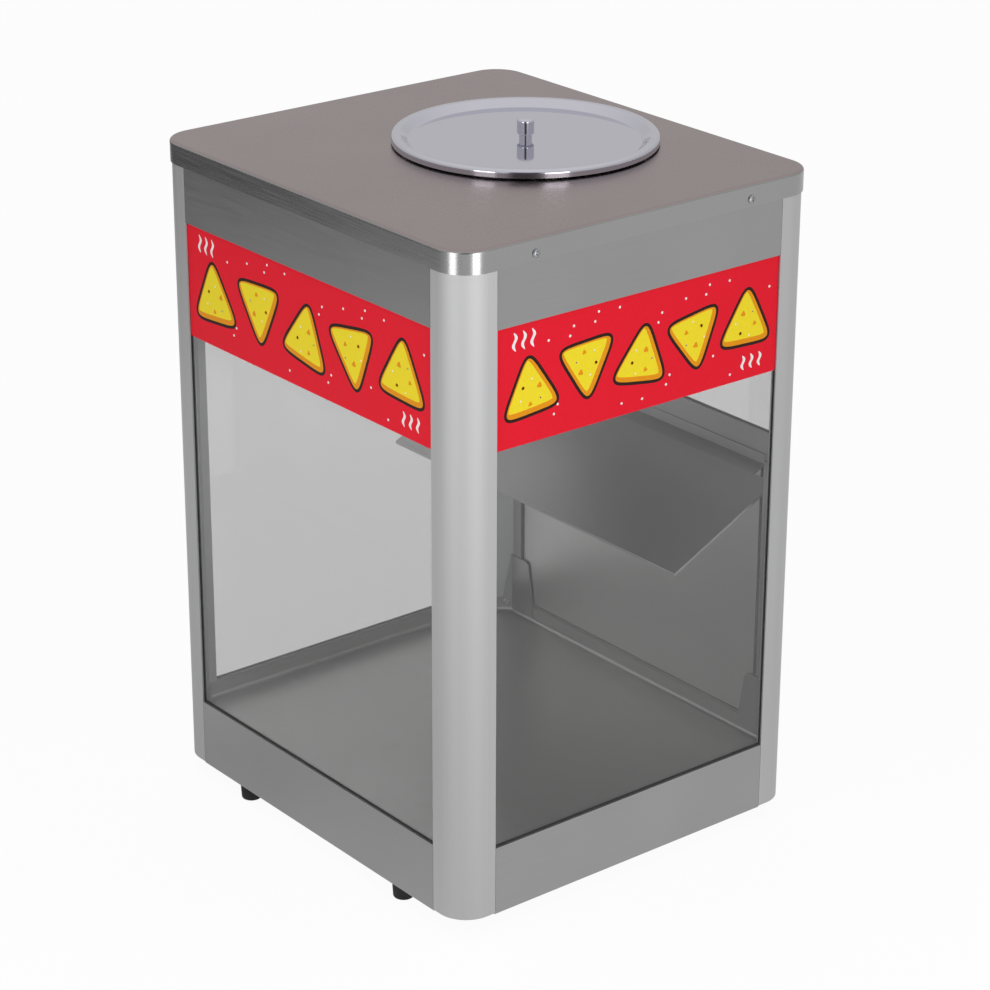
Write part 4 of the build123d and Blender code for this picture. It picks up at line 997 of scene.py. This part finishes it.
@dataclass
class SignPrint:
    """A sign film and its screen print: a row of tortilla chips, steam and salt. Millimetres.

    The film has small round corners and lies a hair off the glass, as its glue does, so that its
    back shows from inside. The inks lie on each other in steps, each a closed slab: dark outlines,
    orange edges, yellow chips, then toast spots and white salt. Real ink is thinner than a step.
    Places on the film are complex numbers, right and up from its middle.
    """

    node: str
    right: Triple
    chips: int = 5
    chip_r: float = 27.0
    margin: float = 42.0
    bulge: float = 0.25
    rim: float = 3.0
    crust: float = 3.2
    shine: complex = -1.3 + 1.6j
    step: float = 0.04
    glue: float = 0.06
    corner_r: float = 1.5
    spots: int = 4
    toast_r: Triple = (1.5, 2.0, 2.5)
    waves: int = 3
    steam_in: float = 20.0
    steam_apart: float = 10.0
    steam_wide: float = 3.2
    steam_tall: Pair = (17.0, 14.0)
    steam_from_edge: Pair = (15.0, 16.0)
    salt_grains: int = 60
    salt_edge: Pair = (8.0, 6.0)
    salt_r: float = 1.3
    chip_salt_r: float = 0.9

    def place(self) -> tuple[Ground, float, float, float]:
        """Measure the CAD's plain film.

        Returns:
            The film's outer face, its width, its height and its thickness.
        """
        low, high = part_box(self.node)
        size, centre = np.array(high - low) / MM, np.array(high + low) / 2
        out = np.cross(self.right, (0.0, 0.0, 1.0))
        thick = float(abs(size @ out))
        ground = Ground(tuple(centre + out * thick / 2 * MM), self.right)
        return ground, float(abs(size @ self.right)), float(size[2]), thick

    def sheet(self, width: float, height: float, thick: float) -> Solid:
        """Make the bare film: a rectangle whose corners are quarter circles.

        Args:
            width: width of the film.
            height: height of the film.
            thick: thickness of the film with its glue.

        Returns:
            Points and triangles.
        """
        turn, r = np.linspace(0, np.pi / 2, 6), self.corner_r
        bend = r * np.exp(1j * turn) + (width / 2 - r) + 1j * (height / 2 - r)
        flip = -bend.conj()[::-1]
        return slab(flat(np.concatenate([bend, flip, -bend, -flip])), self.glue - thick, 0.0)

    def triangle(self, centre: complex, angle: float, grow: float = 0.0) -> np.ndarray:
        """Draw the outline of a chip.

        With t going once round, the point is r (e^it + b e^-2it), which is a triangle with round
        corners and slightly bowed sides, moved outwards along its normal e^it - 2b e^-2it.

        Args:
            centre: middle of the chip.
            angle: way that one of its corners points.
            grow: how far the outline moves outwards.

        Returns:
            The outline's points.
        """
        turn = np.linspace(0, 2 * np.pi, 72, endpoint=False)
        spin, bulge = np.exp(1j * turn), self.bulge * np.exp(-2j * turn)
        normal = spin - 2 * bulge
        edge = self.chip_r * (spin + bulge) + grow * normal / abs(normal)
        return flat(edge * np.exp(1j * angle) + centre)

    def blob(self, centre: complex, radius: float, phase: float) -> np.ndarray:
        """Draw a toast spot: a circle whose radius waves three times by a fifth, turned by phase."""
        turn = np.linspace(0, 2 * np.pi, 20, endpoint=False)
        return flat(radius * (1 + 0.2 * np.cos(3 * turn + phase)) * np.exp(1j * turn) + centre)

    def grain(self, centre: complex, radius: float) -> np.ndarray:
        """Draw a grain of salt: a hexagon."""
        return ring_of(radius, 6) + [centre.real, centre.imag]

    def chip(self, centre: complex, angle: float, number: int) -> list[Layer]:
        """Build one chip, with toast spots and as many grains of salt round its middle.

        Args:
            centre: middle of the chip.
            angle: way that one of its corners points.
            number: its place in the row, which turns the spots on.

        Returns:
            Pairs of a slab and its ink.
        """
        step = self.step
        layers = [(slab(self.triangle(centre, angle, self.rim), -step, step), Ink.OUTLINE),
                  (slab(self.triangle(centre, angle), 0.0, 2 * step), Ink.TOAST),
                  (slab(self.triangle(centre + self.shine, angle, -self.crust), step, 3 * step), Ink.CHIP)]
        for index in range(self.spots):
            away = np.exp(1j * (angle + 0.9 + 2.1 * index + 0.4 * number)) * self.chip_r
            spot = self.blob(centre + 0.42 * away, self.toast_r[index % 3], index)
            salt = self.grain(centre - 0.5 * away, self.chip_salt_r)
            layers += [(slab(outline, 2 * step, 4 * step), ink)
                       for outline, ink in ((spot, Ink.TOAST), (salt, Ink.WHITE))]
        return layers

    def wave(self, centre: complex, tall: float) -> tuple[np.ndarray, np.ndarray]:
        """Draw a rising wave: a sine sideways, thinner towards both ends by the fourth power.

        Args:
            centre: middle of the wave.
            tall: its height.

        Returns:
            Its left and its right edge.
        """
        rise = np.linspace(-1, 1, 25)
        line = centre + 1j * rise * tall / 2 + 0.09 * tall * np.sin(np.pi * rise * 1.2)
        half = self.steam_wide / 2 * (1 - 0.85 * rise**4)
        return flat(line - half), flat(line + half)

    def steam(self, width: float, height: float) -> list[Layer]:
        """Put waves side by side in the upper left corner and in the lower right.

        Args:
            width: width of the film.
            height: height of the film.

        Returns:
            Pairs of a strip and its ink.
        """
        layers = []
        for number in range(self.waves):
            for side, tall, edge in zip((-1, 1), self.steam_tall, self.steam_from_edge):
                right = side * (width / 2 - self.steam_in - self.steam_apart * number)
                wave = self.wave(complex(right, side * (edge - height / 2)), tall)
                layers.append((ribbon(*wave, -self.step, self.step), Ink.WHITE))
        return layers

    def salt(self, width: float, height: float, chips: np.ndarray) -> list[Layer]:
        """Scatter salt over the film, away from the chips and the steam.

        A grain's place is its number times a golden share of the width and a silver share of the
        height, less the whole widths and heights, which spreads the grains evenly.

        Args:
            width: width of the film.
            height: height of the film.
            chips: middles of the chips.

        Returns:
            Pairs of a slab and its ink.
        """
        number, (side, end) = np.arange(1, self.salt_grains + 1), self.salt_edge
        spots = ((width - 2 * side) * (number * 0.618034 % 1 - 0.5)
                 + 1j * (height - 2 * end) * (number * 0.414214 % 1 - 0.5))
        off_chips = abs(spots[:, None] - chips).min(axis=1) > 1.36 * self.chip_r
        steam_middle = width / 2 - self.steam_in - self.steam_apart
        off_steam = abs(abs(spots.real) - steam_middle) > 1.8 * self.steam_apart
        return [(slab(self.grain(spot, self.salt_r), -self.step, self.step), Ink.WHITE)
                for spot in spots[off_chips & off_steam]]

    def build(self) -> None:
        """Lay out the row: chips point up and down in turn, on a line that waves and climbs a little."""
        ground, width, height, thick = self.place()
        places = np.linspace(-width / 2 + self.margin, width / 2 - self.margin, self.chips)
        number = np.arange(self.chips)
        chips = places + 1j * (-7 + 3 * np.sin(1.9 * number) + 9 * (number % 2) + 6 * places / width)
        layers = [(self.sheet(width, height, thick), Ink.BARE)]
        for index, middle in enumerate(chips):
            angle = math.pi / 2 + math.pi * (index % 2) + 0.17 * math.sin(2.3 * index + 0.5)
            layers += self.chip(complex(middle), angle, index)
        layers += self.steam(width, height) + self.salt(width, height, chips)
        points, faces = joined([layer for layer, ink in layers])
        inks = np.concatenate([np.full(len(layer[1]), list(Ink).index(ink)) for layer, ink in layers])
        piece = put_piece(self.node + "_print", ground.lay(points), faces, [ink.value for ink in Ink],
                          "cabinet", "sign_film", inks)
        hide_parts(self.node)


@dataclass
class DoorStops:
    """Stop strips beside the door, inside, each with a rubber bead that the door closes on.

    u is measured from the cabinet's side face, and v from its back face inwards. Millimetres.
    """

    strip_u: Pair = (33.0, 45.2)
    strip_v: Pair = (7.62, 8.6)
    strip_r: float = 0.6
    bead_w: float = 4.2
    bead_v: Pair = (7.45, 8.75)
    end_gap: float = 1.0

    def strip(self) -> np.ndarray:
        """Draw the strip's section: a flat bar whose inner edges are rounded by a quarter circle.

        Returns:
            Rows of u and v.
        """
        turn = np.linspace(0, np.pi / 2, 6)
        (u0, u1), (v0, v1), r = self.strip_u, self.strip_v, self.strip_r
        near = np.column_stack([u0 + r - r * np.cos(turn), v1 - r + r * np.sin(turn)])
        far = np.column_stack([u1 - r + r * np.sin(turn), v1 - r + r * np.cos(turn)])
        return np.concatenate([[[u0, v0]], near, far, [[u1, v0]]])

    def bead(self) -> np.ndarray:
        """Draw the bead's section: half an ellipse on a flat base.

        Returns:
            Rows of u and v.
        """
        turn = np.linspace(0, np.pi, 17)
        half, (v0, v1) = self.bead_w / 2, self.bead_v
        return np.column_stack([self.strip_u[1] + half * (1 - np.cos(turn)), v0 + (v1 - v0) * np.sin(turn)])

    def carried(self, section: np.ndarray, side: int) -> Solid:
        """Carry a section up beside the door, from the sill to the rail.

        Args:
            section: rows of u and v.
            side: 1 for the cabinet's right side, -1 for its left.

        Returns:
            Points in metres and faces.
        """
        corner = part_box("post_rear_right")[1]
        z0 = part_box("base_panel_rear")[1].z + self.end_gap * MM
        z1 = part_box("rear_mid_rail")[0].z - self.end_gap * MM
        u, v = section[::side].T * MM
        plan = np.column_stack([side * (corner.x - u), corner.y - v])
        count = len(plan)
        points = np.concatenate([np.column_stack([plan, np.full(count, z)]) for z in (z0, z1)])
        faces = grid_faces(2, count, wrap=True).tolist()
        return points, faces + [list(range(count))[::-1], list(range(count, 2 * count))]

    def build(self) -> None:
        """Put one strip and one bead at each side of the door."""
        for side, name in ((-1, "left"), (1, "right")):
            put_piece("door_stop_" + name, *self.carried(self.strip(), side), [STEEL[Grain.Z]], "cabinet",
                      "satin_steel")
            put_piece("door_seal_" + name, *self.carried(self.bead(), side), [GLAZING_RUBBER], "cabinet",
                      "black_rubber", smooth=True)


@dataclass
class DoorHardware:
    """Screws in the hinges' leaves and a ferrule round each foot of the pull. Millimetres."""

    screw: CrossScrew = CrossScrew(head_d=4.6, head_h=1.3, edge_h=0.4, shank_d=2.6, length=1.0,
                                   arm_w=0.8, arm_l=2.9, recess=0.7)
    leaf_t: float = 1.2
    screw_up: float = 15.0
    frame_reach: float = 6.2
    door_reach: float = 12.0
    bar_r: float = 3.0
    ferrule_gap: float = 0.05
    ferrule_r: float = 5.6
    ferrule_h: float = 1.8
    ferrule_edge_r: float = 1.0

    def screws(self, node: str, reach: float, body: str) -> None:
        """Put two small screws in each leaf.

        Args:
            node: CAD node of the leaves.
            reach: distance of the screws from the pin's axis.
            body: body that the leaves ride on.
        """
        axis = axis_of("door_swing")
        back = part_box("door_skin")[1].y + self.leaf_t * MM
        placed = []
        for middle in map(middle_of, solids_of(node)):
            side = math.copysign(1.0, middle[0] - axis[0])
            for up in (-self.screw_up, self.screw_up):
                seat = np.array([axis[0] + side * reach * MM, back, middle[2] + up * MM])
                placed.append(self.screw.placed(seat, (0.0, 1.0, 0.0)))
        put_piece(node + "_screws", *joined(placed), [ZINC], body, "plated_steel")

    def ferrules(self) -> None:
        """Turn a rounded ring round each foot: the profile's corners outside are quarter circles."""
        low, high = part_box("door_pull")
        turn = np.linspace(0, np.pi / 2, 7)
        inner, outer = self.bar_r + self.ferrule_gap, self.ferrule_r
        tall, r = self.ferrule_h, self.ferrule_edge_r
        edge = np.column_stack([outer - r + r * np.cos(turn), tall - r + r * np.sin(turn)])
        profile = np.concatenate([[[inner, 0.0], [outer, 0.0]], edge, [[inner, tall]]])
        around = ring_of(1.0, 40)
        level = np.broadcast_to(profile[None, :, 1:], (len(around), len(profile), 1))
        spun = np.concatenate([around[:, None, :] * profile[None, :, :1], level], axis=-1)
        faces = grid_faces(len(around), len(profile), wrap=True, loop=True)[:, ::-1]
        rings = []
        for z in (low.z + self.bar_r * MM, high.z - self.bar_r * MM):
            seat = Ground(((low.x + high.x) / 2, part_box("door_skin")[1].y, z), (-1.0, 0.0, 0.0))
            rings.append((seat.lay(spun.reshape(-1, 3)), faces))
        put_piece("pull_ferrules", *joined(rings), [MIRROR], "door", "polished_steel", smooth=True)

    def build(self) -> None:
        """Screws first, then the ferrules."""
        self.screws("hinge_frame_leaves", self.frame_reach, "cabinet")
        self.screws("hinge_door_leaves", self.door_reach, "door")
        self.ferrules()


@dataclass
class ControlMarks:
    """Printed scale round the dial, and the marks on the rocker. Millimetres and degrees."""

    tick_r: Pair = (17.6, 20.0)
    tick_w: float = 0.9
    wedge_r: float = 21.2
    wedge_w: Pair = (0.4, 2.6)
    sweep: Pair = (30.0, 270.0)
    ticks: int = 9
    rest_up: float = 21.4
    rest_r: Pair = (1.3, 2.1)
    ink: float = 0.08
    face_up: float = 5.9
    face_out: Pair = (6.0, 7.6)
    face_half: float = 11.8
    tilt: float = 7.0
    bar: Pair = (1.2, 5.2)
    ring_r: Pair = (1.7, 2.7)

    @staticmethod
    def around(radius: np.ndarray | float, degrees: np.ndarray) -> np.ndarray:
        """Points at a distance and an angle, clockwise from the top."""
        turn = np.radians(degrees)
        return np.column_stack([radius * np.sin(turn), radius * np.cos(turn)])

    def scale(self) -> None:
        """Print ticks, a ring at the rest mark, and a wedge that widens as the dial turns up."""
        axis = axis_of("dial_turn")
        ground = Ground((axis[0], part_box("base_panel_rear")[1].y, axis[2]), (-1.0, 0.0, 0.0))
        parts = []
        for at in np.linspace(*self.sweep, self.ticks):
            line = self.around(np.array(self.tick_r), np.array([at, at]))
            side = self.around(self.tick_w / 2, np.array([at + 90, at + 90]))
            parts.append(ribbon(line - side, line + side, -self.ink, self.ink))
        along = np.linspace(*self.sweep, 49)
        width = np.linspace(*self.wedge_w, 49)
        parts.append(ribbon(self.around(self.wedge_r + width, along), self.around(self.wedge_r, along),
                            -self.ink, self.ink))
        inner, outer = (ring_of(radius) + [0.0, self.rest_up] for radius in self.rest_r)
        parts.append(ribbon(inner, outer, -self.ink, self.ink, loop=True))
        points, faces = joined(parts)
        put_piece("dial_scale", ground.lay(points), faces, [INK_BLACK], "cabinet", "black_plastic")

    def rocker_face(self, half: int) -> Ground:
        """Find the middle of one half of the rocker, whose face slopes from its hollow outwards.

        Args:
            half: 1 for the upper half, -1 for the lower.

        Returns:
            The face.
        """
        axis = axis_of("rocker_tilt")
        turn = np.radians(-self.tilt)
        spin = np.array([[np.cos(turn), -np.sin(turn)], [np.sin(turn), np.cos(turn)]])
        low, high = self.face_out
        middle = spin @ np.array([(low + high) / 2, half * self.face_up])
        up = spin @ np.array([half * (high - low), self.face_half]) / math.hypot(high - low, self.face_half)
        return Ground((axis[0], axis[1] + middle[0] * MM, axis[2] + middle[1] * MM), (-1.0, 0.0, 0.0),
                      (0.0, float(up[0]), float(up[1])))

    def rocker_marks(self) -> None:
        """Print a bar on the upper half and a ring on the lower."""
        wide, tall = self.bar
        ends = np.array([[0.0, tall / 2], [0.0, -tall / 2]])
        side = np.array([wide / 2, 0.0])
        bar, faces = ribbon(ends + side, ends - side, -self.ink, self.ink)
        ring, loops = ribbon(*map(ring_of, self.ring_r), -self.ink, self.ink, loop=True)
        parts = [(self.rocker_face(1).lay(bar), faces), (self.rocker_face(-1).lay(ring), loops)]
        put_piece("rocker_marks", *joined(parts), [INK_WHITE], "rocker", "rocker_plastic")

    def build(self) -> None:
        """The dial's scale, then the rocker's marks."""
        self.scale()
        self.rocker_marks()


# ---- Dressing the CAD nodes -------------------------------------------------------------------
def dress_nodes() -> None:
    """Give every CAD node the finish of its slot, or its own where its grain or its steel differs."""
    for part in frame["record"]["subparts"]:
        node = frame["nodes"][part["node"]]
        finish = NODE_FINISH.get(part["node"], SLOT_FINISH[part["material_slot"]])
        node.data.materials.clear()
        node.data.materials.append(finish.material())
    LOG.info("dressed %d nodes", len(frame["nodes"]))


def main() -> None:
    """Build the studio, the finishes and the added pieces in order."""
    logging.basicConfig(level=logging.INFO, format="%(message)s")
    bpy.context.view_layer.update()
    Studio().build()
    dress_nodes()
    Fasteners().build()
    SignPrint("sign_front", (1.0, 0.0, 0.0)).build()
    SignPrint("sign_right", (0.0, 1.0, 0.0), chip_r=25.0, margin=38.0).build()
    DoorStops().build()
    DoorHardware().build()
    ControlMarks().build()


if __name__ == "__main__":
    main()
